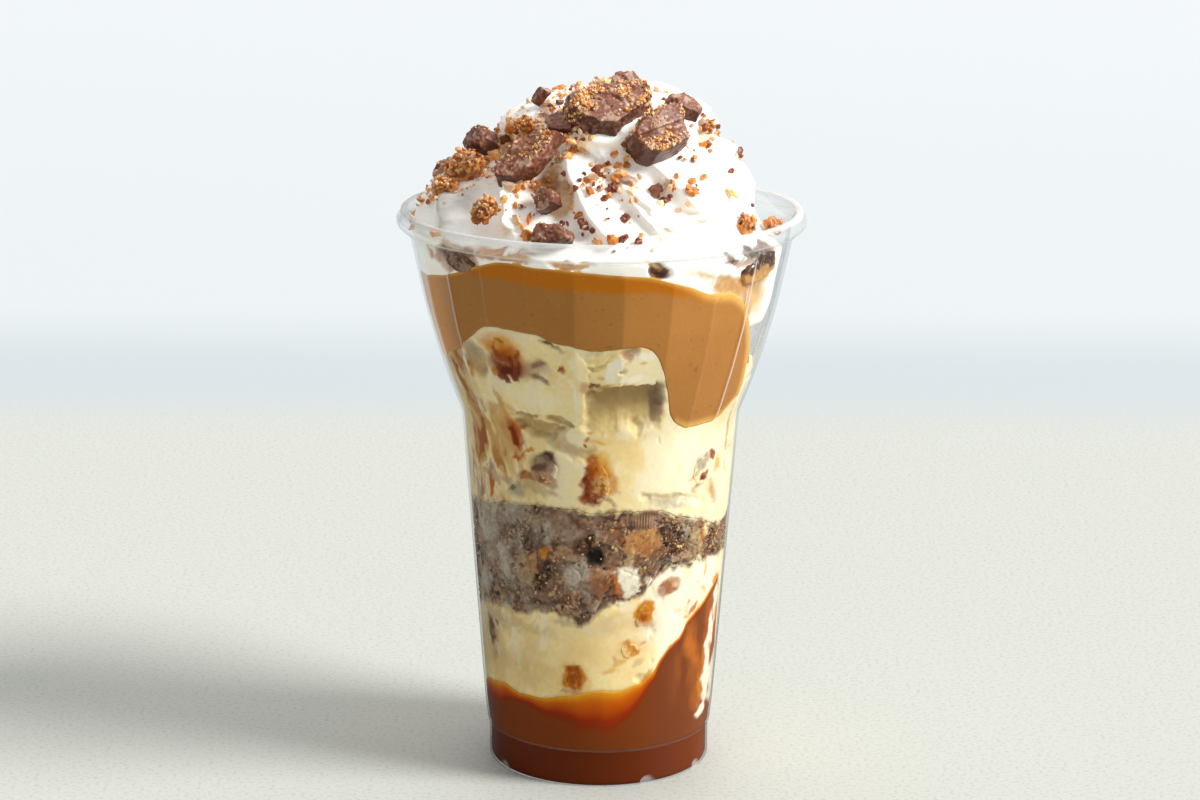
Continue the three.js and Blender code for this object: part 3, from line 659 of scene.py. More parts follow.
crunch = {
    "rows": 96, "steps": 600, "reach": 0.28, "tucks": (0, 0), "lip": 0.06,
    "lumps": 230, "grains": 9000, "granules": 700, "rings": 110,
    "patternRadius": 31,  # its pattern is worked out at this distance from the axis
    "solid": 0.22,  # share of the lumps that are whole chocolate
    "blend": ([-80, -40, -20], [3.4, 2.6, 1.9]),  # how far it fades into the ice cream, by azimuth
    # how thick the melted cream over it is, by azimuth
    "haze": ([-180, -75, -54, -38, -24, 0, 24, 40, 90, 180],
             [0.6, 0.95, 0.9, 0.62, 0.34, 0.22, 0.16, 0.4, 0.6, 0.6]),
    # what it is made of, with its share
    "stuff": {"crumbBrown": 0.34, "crumbDark": 0.22, "crumbGrey": 0.12, "crumbRose": 0.14,
              "crumbGold": 0.08, "crumbToffee": 0.1},
    "specks": {"crumbRose": 0.3, "crumbGold": 0.2, "crumbToffee": 0.22, "sand": 0.08, "night": 0.2},
    "shown": 0.75,  # share of the specks that show
    "speckSizes": (0.12, 0.55),
    "granuleStuff": {"honey": 3, "sand": 3, "toffee": 4, "cream": 1},
    "ringSizes": (0.35, 0.95),
    # a share of the rings is low at the front left
    "crowded": {"share": 0.45, "azimuth": (-58, 4), "height": (43.5, 56)},
    "marks": [
        # large smooth pieces of chocolate, one with a painted grey highlight in its middle
        (-14.4, 66, 12, 9.4, -30, "mauve", 0.85, 0.4, -0.6), (-13.6, 64.6, 6, 4.4, -24, "fog", 0.6, 0.9, 0),
        (-9.6, 67.6, 7, 2, -44, "bark", 0.9, 0.4, 0), (-8.4, 61.6, 5, 5, 0, "bark", 0.8, 0.6, 0.5),
        (-27.4, 66, 3.4, 5, 0, "fog", 0.7, 0.7, 0), (-23, 64.6, 2.4, 8, 0, "film", 0.7, 0.6, 0),
        # deep gaps, painted near black as shade
        (-3.5, 59.4, 4.4, 5, 0, "night", 0.95, 0.4, 1.5), (-5, 63.2, 2.6, 4, 0, "night", 0.9, 0.5, 1.2),
        # a ridged piece over a patch of orange honeycomb, dark chocolate beside it
        (20.6, 62, 12, 8.4, 6, "crumbGold", 0.9, 0.4, -0.4), (21, 61, 9, 5, 6, "crumbToffee", 0.55, 0.8, 0),
        (24, 63.6, 3.4, 4, 0, "crumbGold", 0.7, 0.6, 0), (26.4, 58.6, 6, 2.6, 0, "bark", 0.75, 0.5, 0),
        (20.4, 67.4, 8.6, 4.4, 4, "cocoa", 0.95, 0.3, -0.4), (25.6, 66.8, 3.4, 3.4, 0, "mauve", 0.7, 0.6, 0),
        (36, 62.4, 9.4, 8.4, 0, "cocoa", 0.8, 0.5, 0.4), (42, 64.4, 5, 7, 20, "fog", 0.8, 0.7, 0),
        (43, 67.6, 12, 3, -14, "ash", 0.8, 0.7, 0), (49, 59, 6, 10, 10, "ash", 0.6, 0.9, 0),
        (53, 62, 1.6, 8, 4, "amber", 0.8, 0.5, 0), (55, 64, 3, 8, 4, "cream", 0.85, 0.5, 0),
        # caramel and other spots of colour
        (-24.9, 59.5, 3, 4.4, 0, "crumbGold", 0.9, 0.5, 0),
        (-24.7, 59.4, 2.2, 3.6, 0, "amber", 1, 0.25, -0.5),
        (-17, 58.4, 7, 2.4, 0, "crumbRose", 0.85, 0.5, 0), (-17, 60.2, 2.6, 1.8, 0, "crumbRose", 0.9, 0.4, 0),
        (7.4, 64.6, 4, 1.6, 10, "crumbToffee", 0.9, 0.4, 0), (9.4, 62.6, 3, 2, 0, "red", 0.6, 0.5, 0),
        (3, 55.6, 9, 4, 0, "crumbRose", 0.7, 0.5, 0), (-46, 66, 5, 6, 0, "mauve", 0.6, 0.8, 0),
        (-56, 56, 3.4, 5, 0, "crumbRose", 0.5, 0.7, 0), (39, 57.4, 7, 3, 10, "crumbRose", 0.85, 0.4, 0),
        (33, 56.4, 8, 3, 0, "crumbGrey", 0.7, 0.6, 0), (48.8, 55.2, 5, 2, 0, "cream", 0.8, 0.5, 0),
        # melted cream over it
        (-60, 60, 12, 22, 0, "film", 0.6, 0.9, -0.4), (-48, 53, 8, 12, 10, "film", 0.45, 0.9, 0),
        (-31, 67, 8, 4, 0, "filmWarm", 0.8, 0.8, 0), (-10.6, 54, 6, 8.6, 6, "film", 0.85, 0.6, 0),
        (-6.6, 50.4, 3, 5, 4, "film", 0.7, 0.5, 0), (-6.6, 50.4, 5, 6.4, 4, "bark", 0.5, 0.5, 0),
        (-22, 49.6, 1.2, 5, -34, "ash", 0.85, 0.4, 0), (-38, 60, 1.2, 12, 6, "film", 0.6, 0.6, 0),
        (-1.6, 64.6, 1.6, 4.4, 0, "fog", 0.8, 0.5, 0), (13, 57.4, 2, 7, -20, "ash", 0.6, 0.6, 0),
        # nuts and rings at the lower edge
        (-29, 46, 6.4, 4.8, 0, "mauve", 0.85, 0.4, 0), (-29.6, 45.8, 3.2, 2.8, 0, "cocoa", 0.95, 0.4, 0.2),
        (-30, 45.4, 1.7, 1, 40, "red", 0.95, 0.4, 0), (-4.6, 45.2, 9, 5.4, 0, "mauve", 0.9, 0.35, 0),
        (-7.4, 43.6, 3.4, 4, 0, "cocoa", 0.85, 0.4, 0.2), (-2.4, 46, 3.4, 3, 0, "fog", 0.6, 0.6, 0),
        (-15.3, 48.2, 4.4, 4.4, 0, "crumbRose", 0.9, 0.25, 0),
        (-15.3, 48.2, 2.8, 2.8, 0, "bark", 0.95, 0.25, 0.2),
        (-17.4, 45.4, 3, 2.8, 0, "crumbRose", 0.9, 0.25, 0),
        (-17.6, 45.4, 1.5, 1.3, 0, "cocoa", 0.95, 0.25, 0.2),
        (-54.8, 44.6, 4.6, 4.4, 0, "crumbRose", 0.85, 0.3, 0),
        (-54.8, 44.6, 2.6, 2.4, 0, "crumbBrown", 0.9, 0.3, 0),
        # the white blob and the caramel drop
        (13.6, 52.2, 5.6, 8.4, 6, "pale", 1, 0.15, -0.2), (11.6, 55.4, 5, 2.2, 4, "pale", 0.95, 0.2, 0),
        (17.6, 53.4, 2, 3, 0, "pale", 0.9, 0.3, 0), (15.6, 50.4, 1.5, 3, 0, "fog", 0.5, 0.6, 0.2),
        (8.2, 52, 3, 9, 12, "toffee", 0.95, 0.3, 0), (8.4, 52.6, 1.6, 5.4, 12, "amber", 0.8, 0.5, 0),
        (31.8, 50.2, 8.6, 8.8, 0, "pale", 1, 0.2, -0.2),
    ],
}


def nearestCells(centres, points):
    # for each point its nearest centre, how much nearer that is than the second, and how far it is
    tree = kdtree.KDTree(len(centres))
    for i, centre in enumerate(centres):
        tree.insert(centre, i)
    tree.balance()
    found = [tree.find_n(point, 2) for point in points]
    nearest = np.array([near[0][1] for near in found], int)
    away = np.array([near[0][2] for near in found])
    return nearest, np.array([near[1][2] for near in found]) - away, away


def spotsInCrunch(count, rng, inset=0.6):
    azimuth = rng.uniform(0, 360, count)
    low, high = surfaceAtWall("crunchBottom", azimuth), surfaceAtWall("crunchTop", azimuth)
    return azimuth, mix(low + inset, high - inset, rng.random(count))


def stuffColours(count, rng, stuff):
    names = rng.choice(list(stuff), count, p=np.array(list(stuff.values())) / sum(stuff.values()))
    return np.array([palette[name] for name in names]) * rng.uniform(0.75, 1.3, (count, 1))


def layOutCrunch():
    # where the lumps, grains and bubbles of the crunch are, and their colours
    rng = np.random.default_rng(3)
    made = {}
    for name, count in (("lump", crunch["lumps"]), ("grain", crunch["grains"])):
        azimuth, height = spotsInCrunch(count, rng, -2.5)
        made[name + "Spots"] = onCup(azimuth, crunch["patternRadius"], height)
        made[name + "Tones"] = stuffColours(count, rng, crunch["stuff" if name == "lump" else "specks"])
    made["solid"] = rng.random(crunch["lumps"]) < crunch["solid"]
    made["depth"] = rng.random(crunch["lumps"]) ** 2
    shown = rng.random(crunch["grains"]) < crunch["shown"]
    made["speckSize"] = shown * rng.uniform(*crunch["speckSizes"], crunch["grains"])
    azimuth, height = spotsInCrunch(crunch["rings"], rng, 0.5)
    crowded = crunch["crowded"]
    crowd = rng.random(crunch["rings"]) < crowded["share"]
    azimuth = np.where(crowd, rng.uniform(*crowded["azimuth"], crunch["rings"]), azimuth)
    height = np.where(crowd, rng.uniform(*crowded["height"], crunch["rings"]), height)
    middles = onCup(azimuth, crunch["patternRadius"], height)
    made["rings"] = list(zip(middles, rng.uniform(*crunch["ringSizes"], crunch["rings"])))
    azimuth = rng.uniform(-32, 12, crunch["granules"])
    made["granuleSpots"] = onCup(azimuth, 33, rng.uniform(68, 84, crunch["granules"]))
    made["granuleTones"] = stuffColours(crunch["granules"], rng, crunch["granuleStuff"])
    return made


def crunchLook(points):
    # Fine crumbs of chocolate and honeycomb with whole lumps among them, in melted cream. Returns
    # their colours and how far they lie behind the wall.
    warped = warp(warp(points, 0.9, 3, 11), 0.3, 1, 12)
    lump, lumpEdge, _ = nearestCells(cells["lumpSpots"], warped)
    grain, _, grainAway = nearestCells(cells["grainSpots"], warp(points, 0.2, 0.6, 14))
    patch = softNoise(warp(points, 0.8, 2.5, 17), 3.2, 5, 13)
    tones = mix(palette["crumbDark"], palette["crumbBrown"], smooth(0.5 + 0.75 * patch)[:, None])
    solid = cells["solid"][lump] * smooth(lumpEdge / 1.2)
    tones = mix(tones, cells["lumpTones"][lump], (0.6 * solid)[:, None])
    fine = softNoise(points, 0.7, 2, 16)
    granular = smooth(0.75 + 0.9 * softNoise(points, 2.6, 3, 15)) * (1 - 0.8 * solid)
    speck = smooth((cells["speckSize"][grain] - grainAway) / 0.16) * granular
    tones = tones * (1 + 0.5 * fine * granular)[:, None]
    tones = mix(tones, cells["grainTones"][grain], (0.95 * speck)[:, None])
    for middle, radius in cells["rings"]:
        away = np.linalg.norm(warped - middle, axis=1)
        tones = mix(tones, palette["bark"], (0.5 * smooth((radius - away) / 0.2))[:, None])
        tones = mix(tones, palette["crumbRose"], (0.75 * smooth(1 - np.abs(away - radius) / 0.2))[:, None])
    dents = 0.35 * (1 - smooth(lumpEdge / 0.9)) + 0.5 * cells["depth"][lump]
    dents = dents - 0.3 * speck - 0.25 * fine * granular
    return filmed(points, tones), np.maximum(dents, 0)


def paintCrunch(azimuth, height):
    # all of its colours, and how far it lies behind the wall
    points = onCup(azimuth, crunch["patternRadius"], height)
    tones, dents = crunchLook(points)
    applyMarks(crunch["marks"], points, tones, dents)
    # fine crumbs lie on the larger pieces too
    grain, _, away = nearestCells(cells["grainSpots"], warp(points, 0.2, 0.6, 24))
    dark = smooth((0.5 - tones.mean(axis=1)) / 0.2)
    speck = smooth((0.8 * cells["speckSize"][grain] - away) / 0.14)
    speck = speck * smooth(0.45 + softNoise(points, 2.2, 3, 27)) * dark
    tones = tones * (1 + 0.28 * dark * softNoise(points, 0.8, 3, 28))[:, None]
    tones = mix(tones, cells["grainTones"][grain], (0.7 * speck)[:, None])
    # fine ridges down the piece at the top
    across = (azimuth - 20.4) * math.radians(1) * crunch["patternRadius"]
    ridged = smooth(1.3 - np.hypot(across / 4, (height - 67.6) / 2)) * smooth(0.5 + 0.5 * np.sin(across * 9))
    tones = mix(tones, palette["rose"], (0.85 * ridged)[:, None])
    # it fades into the ice cream above and below it, each with its own pattern
    seed = np.where(height > 58, 5, 4)
    for part in (4, 5):
        at = np.flatnonzero(seed == part)
        around = vanillaTones(points[at], azimuth[at], "butter", "custard", part)
        tones[at] = mix(around, tones[at], crunchShare(points[at], azimuth[at], height[at])[:, None])
    return tones, dents


def filmed(points, tones):
    # melted cream runs between the wall and the crumbs, thickest on the left
    azimuth = cupPlaces(points)[0]
    flow = softNoise(warp(points, 1.5, 5, 61) * [1, 1, 0.5], 3.6, 4, 21)
    hazy = np.interp(azimuth, *crunch["haze"]) * smooth(0.42 + 0.8 * flow)
    side = smooth((azimuth + 50) / 40)
    return mix(tones, mix(palette["film"], palette["filmWarm"], side[:, None]), hazy[:, None])


def crunchShare(points, azimuth, height):
    # 1 inside the crunch, falling to 0 in the ice cream above and below it
    inside = np.minimum(height - surfaceAtWall("crunchBottom", azimuth),
                        surfaceAtWall("crunchTop", azimuth) - height)
    ragged = 0.8 * softNoise(points, 2.2, 3, 81) + 0.3 * softNoise(points, 0.8, 2, 83)
    blend = np.interp(azimuth, *crunch["blend"])
    return smooth(0.6 + (inside + ragged) / blend)


def blendWithCrunch(azimuth, height, tones, atWall):
    # ice cream next to the crunch, with crumbs of it drifting in
    points = onCup(azimuth, crunch["patternRadius"], height)
    reach = crunchShare(points, azimuth, height)
    near = np.flatnonzero((reach > 0.02) & atWall)
    look, _ = crunchLook(points[near])
    tones[near] = mix(tones[near], look, reach[near][:, None])
    return tones


cells = layOutCrunch()


pool = {
    "rows": 90, "steps": 432, "reach": 0.34, "tucks": (0, 0), "lip": 0.15,
    # where the sauce thins towards its upper edge light shines through it: (depth, colour)
    "thin": [(0, "dea436"), (1, "da8a12"), (2.4, "cc6403"), (3.9, "be5201"), (5.5, "ae4200"), (7, "962d01"),
             (8.8, "862b03"), (11, "83350a"), (14, "7e3a10")],
    # how far that reaches, by azimuth
    "spread": ([-110, -76, -60, -50, -43, -36, -28, -12, 3, 11, 18, 26, 34, 60, 78, 110],
               [0.6, 0.5, 0.6, 0.34, 0.24, 0.28, 0.46, 0.82, 1, 0.9, 0.6, 0.3, 0.12, 0.12, 0.1, 0.5]),
    # its colour deeper down, by azimuth
    "body": [(-150, "74360e"), (-70, "7c3a0c"), (-40, "80390b"), (0, "7c3a10"), (22, "783911"),
             (36, "723716"), (50, "763c1a"), (70, "88481e"), (100, "84421a"), (150, "74360e")],
    "foot": (0.62, 0.46, 0.26),  # painted shade inside the foot: how much of its red, green and blue is left there
    "marks": [
        # cream that runs down at the right, with thin caramel beside it
        (66, 37, 3, 12, 10, "caramelThin", 0.7, 0.7, 0), (61, 27, 3, 12, 4, "caramelThin", 0.6, 0.8, 0),
        (57, 19, 4, 9, 0, "caramelThin", 0.4, 0.9, 0), (50, 33, 4, 12, 26, "caramelThin", 0.8, 0.8, 0),
        (76.6, 47, 4.4, 8, 8, "pale", 1, 0.3, 0), (72, 41.4, 4, 9, 14, "pale", 1, 0.3, 0),
        (67.6, 35.4, 4, 9, 10, "pale", 1, 0.3, 0), (66, 28.8, 4.4, 9, 0, "pale", 1, 0.3, 0),
        (68, 23, 7, 8, 0, "pale", 1, 0.3, 0), (67, 18, 7, 7, -10, "pale", 1, 0.3, 0),
        (65, 14, 6, 3.6, 0, "pale", 1, 0.3, 0), (91, 28, 7, 36, 0, "pale", 1, 0.3, 0),
        (80, 22, 9, 14, 0, "pale", 1, 0.3, 0), (77, 36, 4, 12, 8, "caramelThin", 0.9, 0.4, 0),
        (59, 21, 2.4, 9, 12, "amber", 0.8, 0.5, 0), (61, 29, 1.6, 8, -4, "amber", 0.7, 0.5, 0),
        (84, 31, 1.6, 12, 8, "caramelThin", 0.8, 0.5, 0),
    ],
}


def rampAt(stops, at):
    # linear colours between stops of (place, hex colour)
    places, colours = zip(*stops)
    levels = np.array([toLinear(colour) for colour in colours])
    return np.stack([np.interp(at, places, channel) for channel in levels.T], axis=1)


def makePool():
    mesh, azimuth, share, height, low, high = layerMesh("caramelPool", "cupFloor", "poolTop", pool)
    points = onCup(azimuth, 28, height)
    body = rampAt(pool["body"], azimuth)
    # it is drawn out into thinner and thicker streaks at the right
    streaks = softNoise(warp(points, 1.6, 7, 71) * [1, 1, 0.22], 3, 3, 7)
    thinner = smooth((azimuth - 30) / 20) * smooth((height - 14) / 14) * smooth(0.4 + streaks)
    body = mix(body, palette["caramelThin"], (0.4 * thinner * (azimuth < 100))[:, None])
    spread = np.interp(azimuth, *pool["spread"]) * (1 + 0.2 * softNoise(points, 6, 2, 2))
    depth = (high - height) / spread
    tones = mix(rampAt(pool["thin"], depth), body, smooth((depth - 8) / 5)[:, None])
    # painted shade: darker inside the foot, with painted light lifting it towards the lit right
    inFoot = smooth((cup["footHeight"] + 0.4 - height) / 0.8)[:, None]
    paintedLightRight = smooth((azimuth - 5) / 45) * smooth((150 - azimuth) / 60)
    tones = mix(tones, tones * pool["foot"] * (1 + 0.3 * paintedLightRight)[:, None], inFoot)
    dents = np.zeros(len(height))
    applyMarks(pool["marks"], points, tones, dents)
    radius = layerRadius(azimuth, share, height, low, high, pool, dents)
    footed = cup["footRadius"] - cup["wall"] + pool["reach"] - 0.35 * (1 - smooth(height / 1.2))
    radius = np.where(height < cup["footHeight"] - 0.3, share * footed, radius)
    writePoints(mesh, onCup(azimuth, radius, height))
    tidyMesh(mesh)
    paint(mesh, tones)
    # boiled sugar and cream: dense, smooth and glossy
    material = toneMaterial("caramelSauce", roughness=0.35, grainSize=2.5, bump=0.001, speckle=0.02,
                            specular=0.05)
    addPiece("caramelPool", mesh, material, ["sauce_pool"])
    print("pool", len(mesh.vertices))


lowerIce = {
    "rows": 84, "steps": 600, "reach": 0.24, "tucks": (1.8, 1.8), "lip": 0.5,
    "marks": [
        # painted light and shade: paler and whiter on the right where the light falls, greyer on the left;
        # yellow in the middle
        (40, 47, 30, 12, 30, "milk", 0.9, 0.8, 0), (28, 42, 12, 10, 30, "pale", 0.85, 0.5, 0),
        (12, 37, 20, 10, 20, "honey", 0.22, 1.4, 0), (-10, 33, 10, 8, 0, "honey", 0.16, 1.2, 0),
        (-12, 40, 14, 4, 0, "custard", 0.8, 0.8, 0), (-45, 30, 16, 12, 0, "ash", 0.5, 1.2, 0),
        (-40, 39, 22, 3.4, -4, "moss", 0.45, 1.0, 0), (2, 41.6, 14, 2.6, 14, "pale", 0.7, 0.7, 0),
        (-16, 42, 8, 2, 0, "fog", 0.6, 0.8, 0),
        # caramel veins
        (15, 34.8, 8, 5.4, 30, "honey", 0.5, 0.9, 0), (14.6, 35.6, 5, 2, -34, "amber", 0.8, 0.7, 0),
        (17.6, 34.2, 3.4, 1.5, 24, "amber", 0.8, 0.6, 0), (12.4, 36.8, 1.6, 2.6, 30, "amber", 0.7, 0.6, 0),
        (10, 31.8, 6, 1.5, 26, "honey", 0.6, 0.8, 0), (19.4, 31.6, 4, 1.6, 34, "rose", 0.5, 0.8, 0),
        (7.7, 32.6, 1.6, 2.2, 0, "rose", 0.6, 0.8, 0), (20.6, 36.8, 1.8, 1.6, 0, "rose", 0.8, 0.5, 0),
        (5, 42, 15, 6, 14, "sand", 0.6, 0.9, 0),
        (4, 29.6, 5, 1.4, 10, "honey", 0.6, 0.8, 0), (24, 28, 4, 1.3, 44, "amber", 0.6, 0.6, 0),
        (-27, 29, 5, 4, -20, "honey", 0.25, 1, 0),
        # round the cube
        (-12.6, 27.2, 9, 9, 4, "honey", 0.5, 0.6, 0), (-12.6, 27.4, 6.4, 7, 4, "amber", 1, 0.2, 0),
        (-14, 27.4, 2, 5.6, 0, "toffee", 0.9, 0.5, 0), (-10.8, 27.8, 2, 5, 4, "toffee", 0.8, 0.5, 0),
        (-12, 30, 4.4, 1.4, 0, "toffee", 0.7, 0.6, 0), (-12.6, 24.2, 6, 1.6, 0, "rose", 0.85, 0.4, 0),
        # chocolate on the far left, behind a haze
        (-66, 36, 9, 13, 0, "fog", 0.55, 0.9, 0), (-57, 39.4, 12, 5, 0, "fog", 0.45, 0.9, 0),
        (-63, 34.6, 5, 11, 6, "rose", 0.7, 0.8, 0), (-64, 35, 3, 8.6, 6, "bark", 0.9, 0.6, 0.2),
        (-58, 37.4, 1.6, 1.4, 0, "bark", 0.8, 0.5, 0), (-61, 29.6, 2.4, 4, -8, "rose", 0.8, 0.7, 0),
        # lump in a white halo
        (31.8, 50.2, 8.6, 8.8, 0, "pale", 1, 0.2, -0.2), (31.8, 50.2, 5.4, 5, 10, "rose", 0.95, 0.3, 0.3),
        (30.4, 51.4, 2.4, 1.6, 20, "toffee", 0.85, 0.4, 0), (33.4, 48.8, 2.6, 1.7, 0, "toffee", 0.85, 0.4, 0),
        (29.6, 49.2, 1.5, 1.6, 0, "mauve", 0.8, 0.4, 0), (33.6, 51, 1.4, 1.2, 0, "amber", 0.8, 0.5, 0),
        (31.8, 50.2, 1.6, 2.6, 20, "crumbToffee", 0.8, 0.4, 0),
        # caramel drop and white blob that reach up into the crunch
        (13.6, 52.2, 5.6, 8.4, 6, "pale", 1, 0.15, -0.2), (8.2, 51.4, 3, 8.4, 12, "toffee", 0.95, 0.3, 0),
        (9, 49.6, 1.8, 4, 10, "amber", 0.85, 0.5, 0), (11.8, 47.8, 3.4, 2, 0, "pale", 0.9, 0.35, 0),
        # under the blob of toffee
        (21.6, 44.2, 7.6, 7.6, 0, "honey", 0.5, 0.7, 0), (21.8, 42.2, 5, 2.6, 0, "rose", 0.8, 0.5, 0),
        (26, 46.4, 5, 3.4, 0, "pale", 0.9, 0.4, 0),
        # beside the sauce on the right
        (49.5, 43.5, 3.4, 1.6, 34, "orange", 0.85, 0.4, 0), (44, 41.6, 3, 1.1, 12, "amber", 0.8, 0.5, 0),
        (45.6, 45.4, 1.5, 1.5, 0, "rose", 0.8, 0.5, 0), (54.3, 57.5, 1.8, 2.6, 0, "amber", 0.8, 0.5, 0),
        (56, 52.6, 1.4, 5.4, 4, "honey", 0.8, 0.6, 0), (57, 47, 2, 2.4, 0, "honey", 0.7, 0.7, 0),
        # the blob of toffee
        (21.8, 44.6, 5, 6.4, 10, "amber", 1, 0.3, 0), (22.6, 43.4, 2.8, 2.8, 10, "toffee", 0.9, 0.5, 0),
        # round the back
        (167.6, 34, 6.4, 6, 0, "orange", 0.95, 0.4, 0), (168.4, 35, 3, 2, 0, "amber", 0.8, 0.5, 0),
        (120, 38, 8, 12, 20, "toffee", 0.85, 0.4, 0), (112, 33, 5, 7, 0, "amber", 0.7, 0.7, 0),
        (-130, 36, 10, 4, 30, "amber", 0.8, 0.5, 0), (-124, 34, 4, 2, 20, "red", 0.8, 0.4, 0),
        (175, 40, 5, 9, 0, "cocoa", 0.85, 0.5, 0.4), (170, 35, 7, 5, 0, "rose", 0.6, 0.7, 0),
        (-100, 33, 4, 9, -20, "amber", 0.7, 0.6, 0), (140, 33, 8, 1.6, -20, "honey", 0.7, 0.6, 0),
        (-160, 32, 3, 6, 10, "toffee", 0.85, 0.4, 0), (-157, 34, 6, 3, 0, "honey", 0.6, 0.8, 0),
        (95, 40, 14, 6, 10, "pale", 0.6, 0.8, 0), (-145, 40, 12, 4, 0, "ash", 0.6, 0.8, 0),
    ],
}


def paintLowerIce(azimuth, height):
    # its colours, and how far it lies behind the wall
    points = onCup(azimuth, 29, height)
    tones = 1.08 * vanillaTones(points, azimuth, "butter", "custard", 4)
    dents = 1.2 * np.clip(softNoise(points, 5, 3, 8) - 0.65, 0, 1)
    applyMarks(lowerIce["marks"], points, tones, dents)
    edge = smooth(1 - (height - surfaceAtWall("poolTop", azimuth)) / 1.2)[:, None]
    return mix(tones, palette["honey"], 0.4 * edge), dents


def vanillaTones(points, azimuth, inner, base, seed):
    # Clouded vanilla with thin swirls. Painted light and shade: it is whiter on the right, where the light
    # falls, and yellower and greyer on the left, in the shade.
    tones = np.tile(palette[base], (len(points), 1))
    cloud = softNoise(warp(points, 2, 8, seed) * [1, 1, 0.7], 7, 4, seed)
    tones = mix(tones, palette[inner], (0.75 * smooth(0.35 + 0.7 * cloud))[:, None])
    # painted light: whiter on the right
    right = smooth((azimuth - 8) / 26) * smooth((150 - azimuth) / 50)
    tones = mix(tones, palette["cream"], (0.9 * right)[:, None])
    tones = mix(tones, palette["milk"], (0.8 * right * smooth(0.4 - 0.8 * cloud))[:, None])
    # painted shade: greyer on the left
    left = smooth((-6 - azimuth) / 60) * smooth((azimuth + 200) / 60)
    tones = mix(tones, palette["ash"], (0.5 * left * smooth(0.6 + cloud))[:, None])
    swirl = softNoise(warp(points, 3, 7, seed + 20) * [1, 1, 0.5], 4.5, 4, seed + 3)
    tones = mix(tones, palette["sand"], (0.3 * smooth((swirl - 0.15) / 0.12) * mix(0.5, 1, left))[:, None])
    return mix(tones, palette["pale"], (0.45 * smooth((-0.2 - swirl) / 0.1))[:, None])


